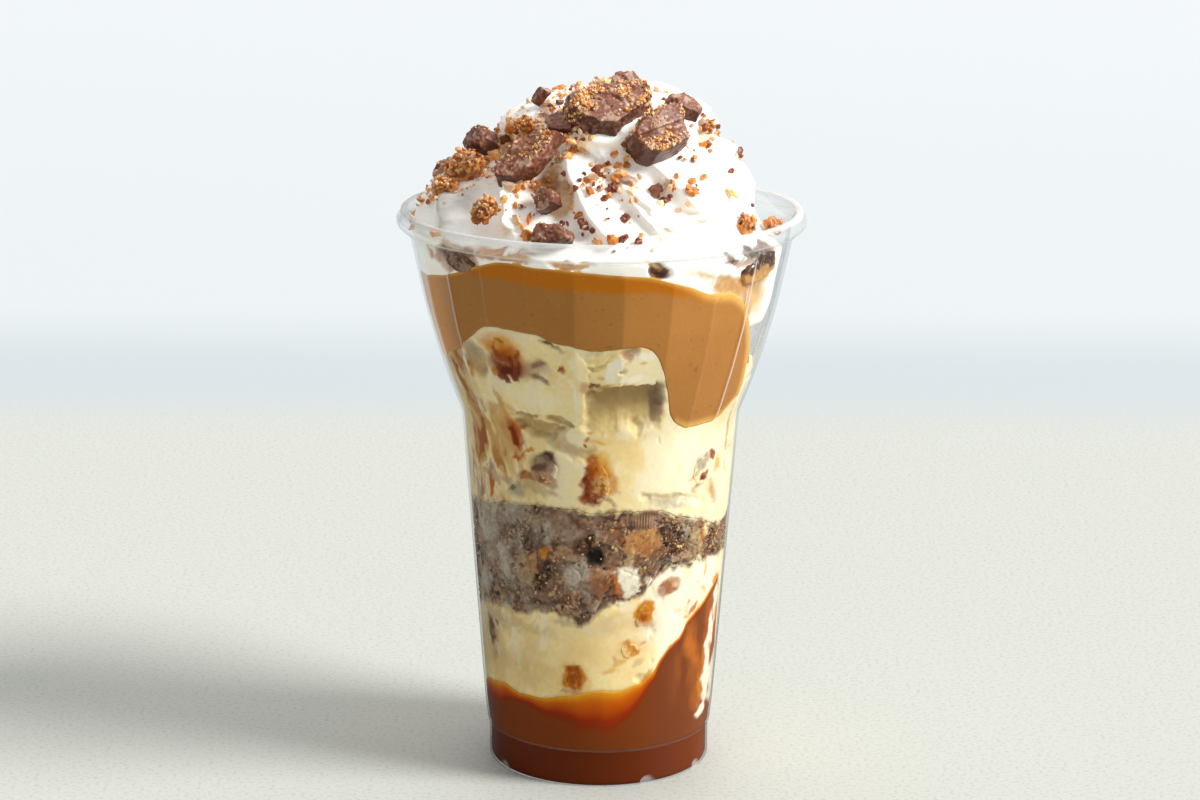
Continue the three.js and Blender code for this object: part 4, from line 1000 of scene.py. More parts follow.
upperIce = {
    "rows": 132, "steps": 600, "reach": 0.24, "tucks": (0, 1.8), "lip": 0.06,
    # streaks where the marbling is above a level: (level, full level, colour, strength)
    "marble": [(-0.05, 0.3, "sand", 0.9), (0.2, 0.5, "ochre", 0.9), (0.55, 0.85, "toffee", 0.8),
               (-0.3, -0.5, "pale", 0.4), (-0.55, -0.65, "rose", 0.75), (-0.85, -0.95, "mauve", 0.7)],
    "hollow": {"middle": 8.4, "half": 15.4, "top": 102.4, "bottom": 88.5, "depth": 3.2},
    "marks": [
        # the right end of the hollow in painted mauve shade, and the ragged fringe over it
        (21.4, 97.6, 3.4, 8.4, 2, "mauve", 0.85, 0.5, 0.3), (23.6, 93.6, 3, 4, 30, "rose", 0.7, 0.8, 0),
        (-5, 101.6, 3.6, 3, 0, "ash", 0.9, 0.3, -2), (-1.2, 101, 3, 3.4, 0, "ash", 0.9, 0.3, -2),
        (2.6, 101.6, 3, 2.6, 0, "sand", 0.9, 0.3, -2),
        # lumps under the sauce
        (-7, 106.6, 3, 7.4, 14, "pale", 0.95, 0.25, -1), (-1.4, 106.2, 9.4, 6.4, 0, "custard", 0.9, 0.4, 0.3),
        (-1, 107, 3.4, 1.4, 10, "moss", 0.6, 0.6, 0.4), (0.6, 104.4, 3, 1.2, -10, "moss", 0.6, 0.6, 0.4),
        (4.8, 107, 3.2, 8.2, -12, "pale", 0.95, 0.25, -1), (9, 110, 4.4, 4.4, 0, "rose", 0.85, 0.4, 0.8),
        (14.8, 106.2, 10.4, 8.2, 10, "cream", 1, 0.25, -1), (15.4, 109.6, 6.4, 3, -20, "pale", 0.9, 0.4, 0),
        (10.8, 103.6, 5, 1.6, 0, "pale", 0.9, 0.3, 0), (14.6, 107.4, 1.3, 1, 0, "honey", 0.7, 0.5, 0),
        # the blotch of caramel at the upper left, with chocolate beside it
        (-48.6, 105.2, 7.4, 9.4, 12, "ash", 0.9, 0.5, 0.5), (-49.4, 107, 3.4, 4.4, 20, "fog", 0.8, 0.6, 0),
        (-57, 104.6, 1.5, 6, 10, "pale", 0.9, 0.4, 0), (-26, 109.4, 20, 5.4, -12, "custard", 0.8, 0.6, 0),
        (-41, 112.4, 9, 5, 20, "pale", 0.6, 0.8, 0),
        (-36, 109.8, 12, 7, -24, "honey", 0.9, 0.8, 0), (-35.4, 109.2, 8, 6, -30, "amber", 0.95, 0.7, 0),
        (-32, 107.4, 7, 6, -30, "orange", 0.8, 0.6, 0), (-34, 105.4, 9, 7, -14, "toffee", 0.95, 0.5, 0.2),
        (-33.4, 104, 7.4, 4, -6, "red", 0.85, 0.5, 0.3), (-37, 102.4, 2.2, 2.6, 30, "red", 0.9, 0.3, 0),
        (-31.4, 102.4, 2, 2.4, 0, "red", 0.9, 0.3, 0), (-34.6, 104, 3, 2, 0, "wine", 0.8, 0.4, 0),
        (-37, 108.4, 1.2, 4.4, 24, "toffee", 0.9, 0.25, 0), (-33, 107, 1.1, 4, -10, "red", 0.85, 0.25, 0),
        (-30.4, 105.4, 1.3, 4.4, -20, "red", 0.85, 0.25, 0), (-39, 106, 1.2, 3.4, 30, "toffee", 0.8, 0.3, 0),
        (-34.6, 101.6, 1.4, 3, 10, "red", 0.95, 0.25, 0), (-29, 109, 1, 3, -34, "toffee", 0.85, 0.3, 0),
        (-40, 103.4, 1.4, 3, 10, "amber", 0.8, 0.4, 0), (-36, 111.6, 3, 1, -20, "toffee", 0.7, 0.4, 0),
        (-23.6, 106, 6.4, 6, 14, "rose", 0.8, 0.6, 0.3), (-22.8, 107, 2.6, 2.4, -20, "bark", 0.7, 0.6, 0.2),
        (-21, 103.4, 5.4, 1.6, -28, "bark", 0.75, 0.5, 0.2), (-25.6, 104.4, 2.2, 1.3, 0, "rose", 0.8, 0.6, 0),
        (-17.8, 112.2, 4, 1.6, -34, "bark", 0.9, 0.4, 0.2),
        (-14.4, 110.4, 3, 1.4, -30, "mauve", 0.8, 0.5, 0.2),
        (-13.2, 105.9, 1.5, 2.3, 20, "toffee", 0.95, 0.3, 0), (-12, 105.2, 1.6, 1.2, 0, "honey", 0.7, 0.6, 0),
        (-12.6, 101, 1.5, 1.2, 0, "rose", 0.7, 0.6, 0), (-10.2, 98.4, 1.3, 1.3, 0, "rose", 0.6, 0.6, 0),
        # a pale tongue, its rounded end at the right, and the shade under it
        (-23, 97.4, 21, 8.4, -4, "custard", 0.9, 0.35, -0.6), (-24, 97.8, 12, 5, -4, "pale", 0.5, 0.8, 0),
        (-10.4, 98.6, 6.6, 14, 6, "custard", 0.9, 0.25, -0.6), (-8.6, 98, 1.3, 12, 4, "pale", 0.9, 0.4, 0),
        (-23, 90.8, 15, 5, -6, "moss", 0.9, 0.4, 1.5), (-15.4, 93, 6, 2.4, -24, "moss", 0.85, 0.4, 1.2),
        (-30, 93.6, 8, 1.8, 8, "taupe", 0.8, 0.5, 1), (-14.6, 86.4, 12, 5, -30, "ash", 0.75, 0.6, 0.8),
        # caramel streaks further down
        (-41, 96, 2.4, 6, 24, "ochre", 0.8, 0.5, 0), (-39, 93.6, 1.4, 4.4, 24, "honey", 0.8, 0.5, 0),
        (-37.6, 88.4, 5.6, 8.4, 12, "ochre", 0.9, 0.5, 0),
        (-37.4, 88.2, 3.8, 7.4, 14, "orange", 0.95, 0.4, 0),
        (-37.8, 87.4, 2.6, 5.4, 14, "red", 0.95, 0.35, 0), (-33.4, 89.6, 2.4, 1.4, 24, "orange", 0.8, 0.4, 0),
        (-49.3, 80.3, 1.7, 4.4, 8, "orange", 0.95, 0.35, 0), (-49.6, 82, 3.4, 7, 8, "ochre", 0.6, 0.7, 0),
        (-36.6, 82.2, 3.6, 1.8, 24, "orange", 0.9, 0.4, 0), (-31, 84, 4.4, 1.2, 18, "amber", 0.85, 0.4, 0),
        (-53.6, 73.4, 2, 5.4, 6, "orange", 0.95, 0.4, 0), (-44, 76, 6, 2.4, 0, "rose", 0.75, 0.6, 0),
        (-25, 80.6, 7.4, 6.4, 20, "mauve", 0.95, 0.4, 0.6), (-26.4, 79.6, 5, 2.4, 24, "bark", 0.9, 0.4, 0.4),
        (-23, 83, 2.6, 4.4, -10, "bark", 0.85, 0.5, 0.4), (-32, 77.4, 6, 3.4, 0, "toffee", 0.85, 0.4, 0.2),
        (-24, 77.4, 6.4, 3, 0, "rose", 0.9, 0.4, 0.2), (-23, 77.8, 1.2, 0.9, 0, "toffee", 0.8, 0.4, 0),
        (-28, 75, 12, 2.4, -8, "ash", 0.8, 0.6, 0.5), (-38, 73.8, 8, 4, 0, "fog", 0.8, 0.7, 0.3),
        (-40, 74, 4, 1.6, 10, "bark", 0.8, 0.5, 0), (-10, 76, 5, 10, 10, "custard", 0.7, 0.7, 0),
        (-86, 72, 2.2, 12, 4, "rose", 0.9, 0.4, 0), (-64, 83, 1.8, 14, 4, "ochre", 0.8, 0.5, 0),
        (-75, 91, 2.4, 16, 6, "sand", 0.7, 0.6, 0), (-70, 74, 1.5, 7, 0, "mauve", 0.85, 0.5, 0),
        (-62, 72, 1.3, 6, 0, "mauve", 0.85, 0.5, 0), (-57, 92, 1.1, 12, 16, "ochre", 0.8, 0.5, 0),
        # the crescent of caramel in the middle, with crumbs in it
        (-4.6, 88.4, 2, 1.4, 30, "orange", 0.8, 0.5, 0), (-5.6, 87, 0.9, 0.9, 0, "red", 0.9, 0.4, 0),
        (-3.4, 90, 1.6, 0.8, -20, "honey", 0.8, 0.5, 0), (-0.4, 87.4, 3.4, 0.8, -14, "honey", 0.6, 0.6, 0),
        (-0.6, 81.6, 5.4, 8, 4, "honey", 0.85, 0.7, 0), (0.6, 77.4, 7, 9.4, -10, "amber", 0.8, 0.5, 0),
        (-3.4, 81.6, 3, 8.6, 4, "orange", 0.9, 0.4, 0), (-5.4, 77.4, 3, 9, -4, "toffee", 0.95, 0.35, 0),
        (-3.6, 73.6, 5.4, 4.4, -24, "toffee", 0.95, 0.35, 0), (-5.8, 77, 1.6, 7.4, -2, "red", 0.95, 0.35, 0),
        (-2.4, 72.6, 3, 1.8, -20, "red", 0.8, 0.5, 0), (3.6, 73, 7, 1.4, -24, "mauve", 0.7, 0.5, 0),
        (6.6, 70.8, 5, 1.3, 0, "rose", 0.8, 0.5, 0), (7, 75.4, 3, 1.1, -34, "rose", 0.5, 0.7, 0),
        # grey and red brown at the right
        (47.4, 79.8, 6, 5.4, 40, "fog", 0.85, 0.4, 0.3), (44.6, 77.4, 5.6, 1.3, 24, "ash", 0.8, 0.4, 0),
        (49.4, 82.6, 3.4, 2.4, 30, "pale", 0.8, 0.5, 0), (55, 81, 2.6, 3.2, 0, "toffee", 0.95, 0.35, 0),
        (54.4, 82.4, 1.6, 1.4, 0, "red", 0.9, 0.4, 0), (59.8, 78.6, 2.6, 5, 0, "honey", 0.7, 0.6, 0),
        (50.4, 76.2, 4.6, 2.4, 24, "toffee", 0.95, 0.3, 0), (50, 75.8, 2.4, 1.3, 24, "red", 0.95, 0.3, 0),
        (47, 73.4, 5, 2, 10, "rose", 0.7, 0.6, 0), (58, 72, 3, 6, 6, "ochre", 0.7, 0.6, 0),
        (34, 71, 16, 3.4, -8, "fog", 0.6, 0.8, 0.4), (31, 73, 15, 1.4, -10, "moss", 0.5, 0.8, 0.2),
        (44, 70.2, 11, 2.6, -12, "milk", 0.95, 0.4, 0), (68, 84, 1.6, 16, 6, "rose", 0.75, 0.5, 0),
        # round the back
        (-130, 86, 8.4, 6.4, 0, "bark", 0.95, 0.4, 0), (-128.6, 87, 4, 2, 20, "mauve", 0.8, 0.5, 0),
        (150, 84, 5, 10, 0, "toffee", 0.95, 0.4, 0), (151, 84, 2, 7, 0, "amber", 0.8, 0.5, 0),
        (120, 84, 8, 18, 20, "amber", 0.8, 0.5, 0.4), (118, 82, 4, 9, 16, "red", 0.8, 0.4, 0),
        (150, 92, 16, 8, 0, "moss", 0.8, 0.5, 2.6), (150, 97, 14, 5, 0, "pale", 0.8, 0.4, -1),
        (-150, 90, 9, 14, -20, "toffee", 0.85, 0.4, 0.4), (-146, 94, 9, 8, -20, "honey", 0.7, 0.6, 0),
        (-115, 88, 12, 6, 12, "mauve", 0.8, 0.5, 1), (-172, 84, 4, 11, 0, "orange", 0.9, 0.4, 0.2),
        (95, 80, 4, 11, -12, "honey", 0.8, 0.5, 0), (130, 76, 11, 3.4, 10, "rose", 0.7, 0.6, 0.3),
        (175, 96, 14, 6, 8, "ash", 0.7, 0.6, 0.6), (-105, 78, 5, 3, 0, "toffee", 0.85, 0.4, 0),
    ],
}


def paintUpperIce(azimuth, height):
    # its colours, and how far it lies behind the wall
    points = onCup(azimuth, 33, height)
    tones = vanillaTones(points, azimuth, "butter", "custard", 5)
    dents = 1.6 * np.clip(softNoise(points, 6, 3, 9) - 0.55, 0, 1)
    # the left side is marbled with caramel and melted chocolate, in streaks that run down the wall
    lean = points + np.stack([0 * height, 0 * height, 0.5 * azimuth], axis=1)
    marble = softNoise(warp(lean, 2.6, 8, 41) * [1, 1, 0.4], 3.8, 4, 6)
    left = smooth((-44 - azimuth) / 12) + 0.7 * smooth((-22 - azimuth) / 16) * smooth((99 - height) / 6)
    left = np.minimum(left, 1) * smooth((azimuth + 165) / 40)
    for start, full, colour, strength in upperIce["marble"]:
        weight = strength * left * smooth((marble - start) / (full - start))
        tones = mix(tones, palette[colour], weight[:, None])
    # under the lumps at the front it is hollow, deepest at its upper edge, with painted shade: butter yellow
    # below, taupe where it is deepest
    hollow = upperIce["hollow"]
    bent = warp(warp(points, 0.8, 4, 51), 0.35, 1.1, 53)
    bentAt, _, bentZ = cupPlaces(bent)
    inside = smooth((hollow["half"] - np.abs(bentAt - hollow["middle"])) / 2.5)
    inside = inside * smooth((hollow["top"] - bentZ) / 0.5)
    fading = smooth((bentZ - hollow["bottom"]) / (hollow["top"] - hollow["bottom"] - 2.5))
    dents += hollow["depth"] * inside * fading
    tones = mix(tones, palette["butter"], (0.8 * inside * smooth(2 * fading))[:, None])
    tones = mix(tones, palette["taupe"], (0.85 * inside * fading ** 1.5)[:, None])
    applyMarks(upperIce["marks"], points, tones, dents)
    # crumbs caught in the caramel
    granular = np.maximum(smooth(1.2 - np.hypot((azimuth - 1) * 0.57 / 3, (height - 76.4) / 5)),
                          smooth(1.2 - np.hypot((azimuth + 24) * 0.57 / 3, (height - 77.4) / 2)))
    at = granular > 0.05
    granule, edge, _ = nearestCells(cells["granuleSpots"], points[at])
    shade = cells["granuleTones"][granule] * mix(0.55, 1.15, smooth(edge / 0.3))[:, None]
    patchy = smooth(0.6 + 0.8 * softNoise(points[at], 1.6, 2, 19))
    tones[at] = mix(tones[at], shade, (0.85 * granular[at] * patchy)[:, None])
    # the lumps under the tan sauce
    crumbly = smooth(1 - np.abs(height - 105.4) / 5.5) * smooth(1 - np.abs(azimuth - 4) / 20)
    return tones, np.maximum(dents + 1.8 * crumbly * softNoise(points, 2.4, 3, 7), 0)


def makeIce(name, node, below, above, settings, paintLayer):
    # a layer of ice cream that blends with the crunch where they meet
    mesh, azimuth, share, height, low, high = layerMesh(name, below, above, settings)
    tones, dents = paintLayer(azimuth, height)
    tones = blendWithCrunch(azimuth, height, tones, share > 0.99)
    radius = layerRadius(azimuth, share, height, low, high, settings, dents)
    writePoints(mesh, onCup(azimuth, radius, height))
    tidyMesh(mesh)
    paint(mesh, tones)
    addPiece(name, mesh, vanilla, [node])
    print(name, len(mesh.vertices))


tan = {
    "rows": 110, "steps": 560, "reach": 0.34, "tucks": (0, 0), "lip": 0.5,
    # painted light and shade by azimuth: darker on the left, lighter to the right where the light falls and
    # much lighter at the far left as a painted reflection; and how wide are the band and the line along its
    # upper edge, by azimuth
    "lighter": ([-80, -66, -54, -10, 6, 16, 26, 45, 62],
                [2.0, 1.52, 0.89, 0.88, 0.96, 0.98, 1.0, 1.01, 1.08]),
    "band": ([-62, -44, -36, -28, -16, 0, 10, 24, 36, 46], [1.2, 1.8, 3.6, 5.4, 6, 5, 5, 4, 2.6, 1.2]),
    "line": ([-60, -20, 20, 50], [1.2, 0.8, 1.4, 2.2]),
    # the azimuth where its round lobe ends, by height, and the free pocket beyond it
    "lobeEnd": ([92.5, 96, 98.9, 107.2, 115, 118], [67, 67, 66.4, 62.6, 55.9, 53]),
    "pocketRadius": 36.3, "pocketTo": 132,
}


def makeTanSauce():
    mesh, azimuth, share, height, low, high = layerMesh("tanSauce", "tanBottom", "tanTop", tan)
    points = onCup(azimuth, 40, height)
    dents = np.zeros(len(height))
    radius = layerRadius(azimuth, share, height, low, high, tan, dents)
    # right of its round lobe the sauce stands back from the wall
    start = np.interp(height, *tan["lobeEnd"])
    back = smooth((azimuth - start) / 2.6) * smooth((tan["pocketTo"] - azimuth) / 8)
    uneven = tan["pocketRadius"] - 1.2 + 0.9 * softNoise(points, 9, 2, 3)
    back = back * smooth((height - 91) / 3)
    radius = np.where(azimuth > 40, mix(radius, np.minimum(radius, uneven * share), back), radius)
    tones = np.tile(palette["tan"], (len(height), 1))
    cloud = softNoise(points, 14, 3, 2)[:, None]
    # painted light and shade across the sauce, by azimuth
    sideLight = np.interp(azimuth, *tan["lighter"])[:, None]
    tones = tones * (1 + 0.05 * cloud) * sideLight
    under = high - height
    # where it is thin over the layer below it is more orange, with a light line along its edge
    width = np.interp(azimuth, *tan["band"]) * (1 + 0.12 * softNoise(points, 6, 2, 7))
    band = smooth((width - under) / 1.7 + 0.2)[:, None] * smooth((70 - np.abs(azimuth)) / 10)[:, None]
    tones = mix(tones, palette["band"], 0.95 * band)
    line = smooth(1.1 - under / np.interp(azimuth, *tan["line"]))[:, None]
    tones = mix(tones, palette["bandEdge"], 0.75 * line)
    # its round lobe on the right has a lighter edge all along
    edge = np.minimum(under, np.where(azimuth > 44, 0.72 * (start - azimuth), 9))
    edge = np.minimum(edge, np.where(azimuth > 30, height - low + 0.5, 9))
    rightRim = smooth(1.2 - edge / 2.6) * smooth((azimuth - 22) / 16) * smooth((80 - azimuth) / 8)
    tones = mix(tones, palette["tanEdge"], (0.9 * rightRim)[:, None])
    speck = softNoise(points, 0.9, 1, 5)
    tones = mix(tones, palette["bark"], (0.35 * smooth(6 * (speck - 0.72)))[:, None])
    writePoints(mesh, onCup(azimuth, radius, height))
    tidyMesh(mesh)
    paint(mesh, tones)
    # a thick biscuit and caramel spread, dense and almost matt
    material = toneMaterial("caramelSpread", roughness=0.45, grainSize=0.8, bump=0.001, speckle=0.04,
                            specular=0.05)
    addPiece("tanSauce", mesh, material, ["tan_sauce"])
    print("tan sauce", len(mesh.vertices))


cream = {
    "columns": 34,  # columns from one crest to the next
    "rows": 170,
    "behindWall": 18,  # rows between the sauce and the rim
    "reach": 0.24,
    "skew": 1.9,  # above 1 a crest is steep on its left side
    "top": 166.6,
    "bulges": [(0.8, 13, 2, 1), (0.45, 6, 2, 3), (0.14, 2, 2, 2)],  # height, size, octaves and seed
    # on the right it stands back from the wall
    "pocket": {"middle": 100.5, "half": 23.5, "fade": 14, "radius": 36.5},
    # radius, height, valley depth and turn of the crests, from the wall up
    "crestRows": np.array([
        [48, 130.2, 0.5, 0], [42.8, 134, 1.5, 0], [41.4, 137, 3.6, 0], [40.2, 140.5, 5.4, 5],
        [38.2, 144, 6.6, 10], [35.2, 147.6, 7.4, 15], [31.6, 150.6, 6.2, 20], [27.6, 152.8, 3.4, 25],
        [25.2, 154.4, 1.2, 28], [26.4, 157, 0.8, 34], [24.6, 159.6, 1.5, 42], [20.8, 162.2, 1.6, 50],
        [15, 164.4, 1.4, 58], [8, 166, 0.8, 66], [0.6, 166.6, 0, 72],
    ]),
    "crests": [-54, -24.5, 6, 24, 45, 71, 97, 123, 149, 175.5, 201.5, 227.5, 253.5, 280],
    # how deep the fold after each crest is
    "folds": [1.1, 0.95, 0.4, 0.42, 0.4, 0.7, 1, 1, 1, 1, 1, 1, 1, 1],
    "lean": [(137, -3), (142, -2.3), (147, -0.6), (150.5, 0.3), (155.5, 1.5), (161.5, 2.6), (166.6, 2)],
    "marks": [
        # folds on the left: a round lobe, a sharp crest and the deep fold with the curl of chocolate, with
        # painted shade in the folds
        (-58, 141, 14, 11, 0, None, 0, 0.9, -1.8), (-60, 140.5, 13, 13, 0, "shade", 1, 0.8, 0),
        (-46.5, 145.2, 2.8, 5.8, 20, "foldDeep", 0.85, 0.5, 1.6),
        (-36.4, 140, 5, 11, 16, "fold", 0.6, 0.7, 2),
        (-33.6, 142.2, 3, 13, 42, None, 0, 0.8, -1.8), (-18.4, 144.2, 10, 9.4, -24, "fold", 0.95, 0.4, 2.8),
        (-27.5, 146.6, 7, 7, -20, "foldDeep", 1, 0.4, 1.6), (-24, 149.4, 6, 4, -20, "fold", 0.8, 0.6, 0.8),
        (-18, 150.2, 11, 5, -20, None, 0, 0.9, -1.4),
        # the coil on the right, with painted shade under it and in its folds
        (-2, 152.4, 16, 2.6, -14, "chill", 0.6, 0.8, 1.2), (-12, 154.4, 6, 2.4, -10, "fold", 0.7, 0.8, 0.8),
        (10, 148.5, 9, 2.2, -22, "fold", 0.8, 0.6, 1.4), (3.4, 149.6, 5, 1.6, -10, "foldDeep", 0.4, 0.7, 0.6),
        (17.4, 143.8, 12, 2.2, -40, None, 0, 0.7, -1.6), (12.6, 140.8, 8, 7, -40, "chill", 0.5, 0.8, 1),
        (22, 136.8, 6, 2.4, 0, "fold", 0.6, 0.8, 1), (39.4, 148, 4.6, 9, 26, "chill", 0.6, 0.8, 0.9),
        (48, 147, 3, 10, 36, None, 0, 0.7, -1), (53.9, 144.9, 5, 2.6, -10, "butter", 0.5, 0.8, 0),
        (32.8, 141.7, 10, 1.1, -5, "fold", 0.3, 0.8, 0.5), (50.4, 141.4, 8, 1.1, 0, "fold", 0.4, 0.8, 0.5),
        (35.9, 139.3, 9, 1.1, 4, "fold", 0.3, 0.8, 0.5), (44.3, 137.2, 5, 6, 0, "puffWarm", 0.8, 0.5, 0.9),
        (-7.4, 136.9, 6, 2.6, 0, "chill", 0.7, 0.7, 0.9),
        # between the rim and the sauce: chocolate, a drip, and gaps where the cream stands back, tinted with
        # the sauce seen in them and with painted shade
        (-50, 130.2, 22, 6.6, 4, "rose", 0.95, 0.25, 0.4), (-50, 131, 14, 4, 8, "mauve", 0.9, 0.4, 0.4),
        (-46, 129.8, 6, 1.6, -16, "bark", 0.8, 0.4, 0.3), (-55, 131, 3, 3.4, 0, "bark", 0.8, 0.4, 0.2),
        (-42, 131.6, 2, 3, 20, "bark", 0.7, 0.4, 0.2), (-49, 132.6, 5, 1.2, 0, "puffWarm", 0.7, 0.5, 0),
        (-35, 132.4, 8, 2.6, 6, "tan", 0.9, 0.2, 0.2), (-26, 132.2, 11, 1.8, 2, "ochre", 0.9, 0.2, 0.6),
        (-18.4, 131.6, 2.6, 3.4, 0, "puff", 0.9, 0.4, -0.6),
        (-9, 131.8, 12, 1.7, -2, "ochre", 0.85, 0.2, 0.8), (-22, 133.6, 6, 1.2, 0, "tan", 0.6, 0.4, 0.4),
        (16.6, 130.2, 6, 3.4, -30, "redBrown", 0.95, 0.15, 1.6),
        (17.6, 129.6, 4, 1.4, -30, "cocoa", 0.85, 0.4, 0.6),
        (15.8, 131.4, 5, 1, -30, "sand", 0.9, 0.3, 0),
        (33, 127.8, 8, 1.6, -16, "sand", 0.7, 0.6, 0.3), (44, 124.6, 17, 6.4, -14, "ochre", 1, 0.2, 0.4),
        (53, 124.6, 12, 5, -34, "crumbGold", 0.95, 0.5, 0.6), (49, 126.6, 5, 2, -24, "toffee", 0.7, 0.5, 0.4),
        (54.5, 119.6, 9, 10, -16, "ochre", 0.95, 0.3, 0.4), (60.5, 118, 6, 10, -10, "sand", 0.85, 0.6, 0.4),
        (60, 124.6, 6, 5, -30, "ochre", 0.85, 0.6, 0.4), (47, 129.6, 14, 1.8, -10, "rose", 0.8, 0.5, 0.3),
        (42.4, 131, 5, 2.4, 0, "bark", 0.95, 0.3, 0.5), (52.6, 131, 9, 3.6, 0, "cocoa", 0.95, 0.3, 0.6),
        (61, 131.4, 8, 3.4, 0, "bark", 0.9, 0.4, 0.6), (62, 127, 5, 6, 10, "rose", 0.8, 0.6, 0.5),
        (130, 130, 12, 4, 0, "bark", 0.8, 0.4, 0.6), (-110, 130.6, 9, 3, 6, "mauve", 0.8, 0.5, 0.5),
        (175, 130.4, 8, 3, 0, "ash", 0.7, 0.6, 2), (-150, 130, 6, 4, 10, "rose", 0.8, 0.5, 0.5),
    ],
}


def creamPoints(crest, row):
    # points on the cream, by how many crests round it and how many rows up it
    rows = cream["crestRows"]
    shifts = (-0.3, 0, 0.3)
    at = [np.mean([np.interp(row + s, np.arange(len(rows)), rows[:, i]) for s in shifts], axis=0)
          for i in range(4)]
    radius, height, valley, turn = at
    count = len(cream["crests"])
    crests = np.array(cream["crests"] + [cream["crests"][0] + 360])
    k = np.floor(crest).astype(int) % count
    share = crest - np.floor(crest)
    uneven = mix(1, 0.8 + 0.3 * np.sin(2.4 * k + 1), 0.8) * np.array(cream["folds"])[k]
    depth = valley * uneven * np.sin(np.pi * share ** cream["skew"]) ** 0.75
    azimuth = mix(crests[k], crests[k + 1], share) - turn
    points = onCup(azimuth, radius - depth, height - 0.25 * depth)
    points[:, 0] += np.interp(height, *zip(*cream["lean"]))
    return points


def makeCream():
    # one mesh from under the rim up to the peak; returns its points, normals and places
    columns = len(cream["crests"]) * cream["columns"]
    last = len(cream["crestRows"]) - 1
    rows = cream["rows"]
    behindWall = [(1, row) for row in np.linspace(-1, 0, cream["behindWall"], endpoint=False)]
    above = [(1, last * row / rows) for row in range(rows + 1)]
    profile = [(0, -2), (1, -2), *behindWall, *above, (0, last + 1)]
    mesh = lathe("whippedCream", profile, columns)
    raw = readPoints(mesh)
    turned = (np.degrees(np.arctan2(raw[:, 1], raw[:, 0])) + 360) % 360
    share, row = np.hypot(raw[:, 0], raw[:, 1]), raw[:, 2]
    crest = turned / 360 * len(cream["crests"])
    points = creamPoints(np.minimum(crest, len(cream["crests"]) - 1e-6), np.clip(row, 0, last))
    lumps = smooth((row - 0.2) / 2)
    bulge = sum(high * softNoise(points, *pattern) for high, *pattern in cream["bulges"])
    outward = points - [1, 0, 138]
    outward /= np.linalg.norm(outward, axis=1)[:, None]
    points += outward * (lumps * bulge)[:, None]
    azimuth, radius, height = cupPlaces(points)
    # below the rim the cream fills the cup down to the sauce
    floorHeight = surfaceAtWall("tanTop", azimuth) - 1.4
    height = np.maximum(mix(floorHeight, height, np.clip(row + 1, 0, 1)), floorHeight)
    most = wallRadius(azimuth, np.minimum(height, 134)) + cream["reach"]
    radius = np.where(height < 134.2, np.minimum(radius, most), radius)
    radius = np.where(row < -1.5, most * 0.995, radius)
    pocket = cream["pocket"]
    away = np.abs(fromAzimuth(azimuth, pocket["middle"]))
    clear = smooth((pocket["half"] + pocket["fade"] - away) / pocket["fade"])
    radius = np.minimum(radius, mix(60, pocket["radius"], clear))
    dents = np.zeros(len(radius))
    applyMarks(cream["marks"], onCup(azimuth, radius, height), np.ones((len(radius), 3)), dents)
    dents = np.maximum(dents, np.where(height < 134, 0, -3))
    points = onCup(azimuth, radius - dents * (share > 0.5) * (row > -1), height)
    centre = share < 0.5
    points[centre & (row < 0)] = [0, 0, 126]
    points[centre & (row > 0)] = [2, 0, cream["top"]]
    writePoints(mesh, points)
    tidyMesh(mesh)
    points, normals = readPoints(mesh) / mm, readNormals(mesh)
    tones = np.tile(palette["puff"], (len(points), 1))
    # painted shade: faces that turn away from the top are tinted warm
    warmShade = smooth(0.5 + 0.8 * softNoise(points, 8, 2, 4)) * smooth(0.3 - normals[:, 2])
    tones = mix(tones, palette["puffWarm"], (0.75 * warmShade)[:, None])
    applyMarks(cream["marks"], points, tones, np.zeros(len(points)))
    # chocolate under the rim is broken and uneven
    grey = smooth((0.4 - tones.mean(axis=1)) / 0.25) * (points[:, 2] < 134)
    speck = softNoise(points, 1.1, 3, 6)
    paint(mesh, tones * (1 + 0.5 * grey * speck)[:, None])
    # aerated cream: a soft satin white that light soaks into, with a faint glow of painted light
    material = toneMaterial("whippedCream", roughness=0.5, grainSize=1.4, bump=0.02, speckle=0.015,
                            subsurface=0.25, radius=(1, 0.8, 0.6), scale=1.6, glow=0.15)
    addPiece("whippedCream", mesh, material, ["whipped_cream"])
    print("cream", len(mesh.vertices))
    return points, normals, cupPlaces(points)


# what stands out of the crunch against the wall: how many, how far from its edges, their sizes,
# how far in they lie in sizes, their fineness, seed and reach, and what they are made of
looseInCrunch = {
    "crunchChips": (60, 2, (0.5, 1.1), 0.55, (2, 5, 0.36), crunch["stuff"]),
    "crunchCrumbs": (1100, 1.6, (0.14, 0.45), 0.1, (1, 6, 0.4),
                     {"crumbGold": 3, "crumbRose": 5, "crumbToffee": 2, "crumbDark": 1, "sand": 3}),
}


def makeCrunch():
    mesh, azimuth, share, height, low, high = layerMesh("crunchLayer", "crunchBottom", "crunchTop", crunch)
    atWall = np.flatnonzero(share > 0.99)
    tones = np.tile(palette["crumbDark"], (len(height), 1))
    dents = np.zeros(len(height))
    tones[atWall], dents[atWall] = paintCrunch(azimuth[atWall], height[atWall])
    deep = layerRadius(azimuth, share, height, low, high, crunch, np.maximum(dents, -0.04))
    writePoints(mesh, onCup(azimuth, deep, height))
    tidyMesh(mesh)
    paint(mesh, tones)
    addPiece("crunchLayer", mesh, crunchMaterial, ["crunch_layer"])
    rng = np.random.default_rng(5)
    for name, (count, inset, sizes, inward, manner, stuff) in looseInCrunch.items():
        azimuth, height = spotsInCrunch(count, rng, inset)
        size = rng.uniform(*sizes, count)
        spots = onCup(azimuth, wallRadius(azimuth, height) - inward * size, height)
        loose, points = manyBits(name, spots, size, *manner)
        tones = np.repeat(stuffColours(count, rng, stuff), points.shape[1], axis=0)
        paint(loose, filmed(points.reshape(-1, 3), tones))
        tidyMesh(loose)
        addPiece(name, loose, crunchMaterial, ["crunch_layer"])
    print("crunch", len(mesh.vertices))


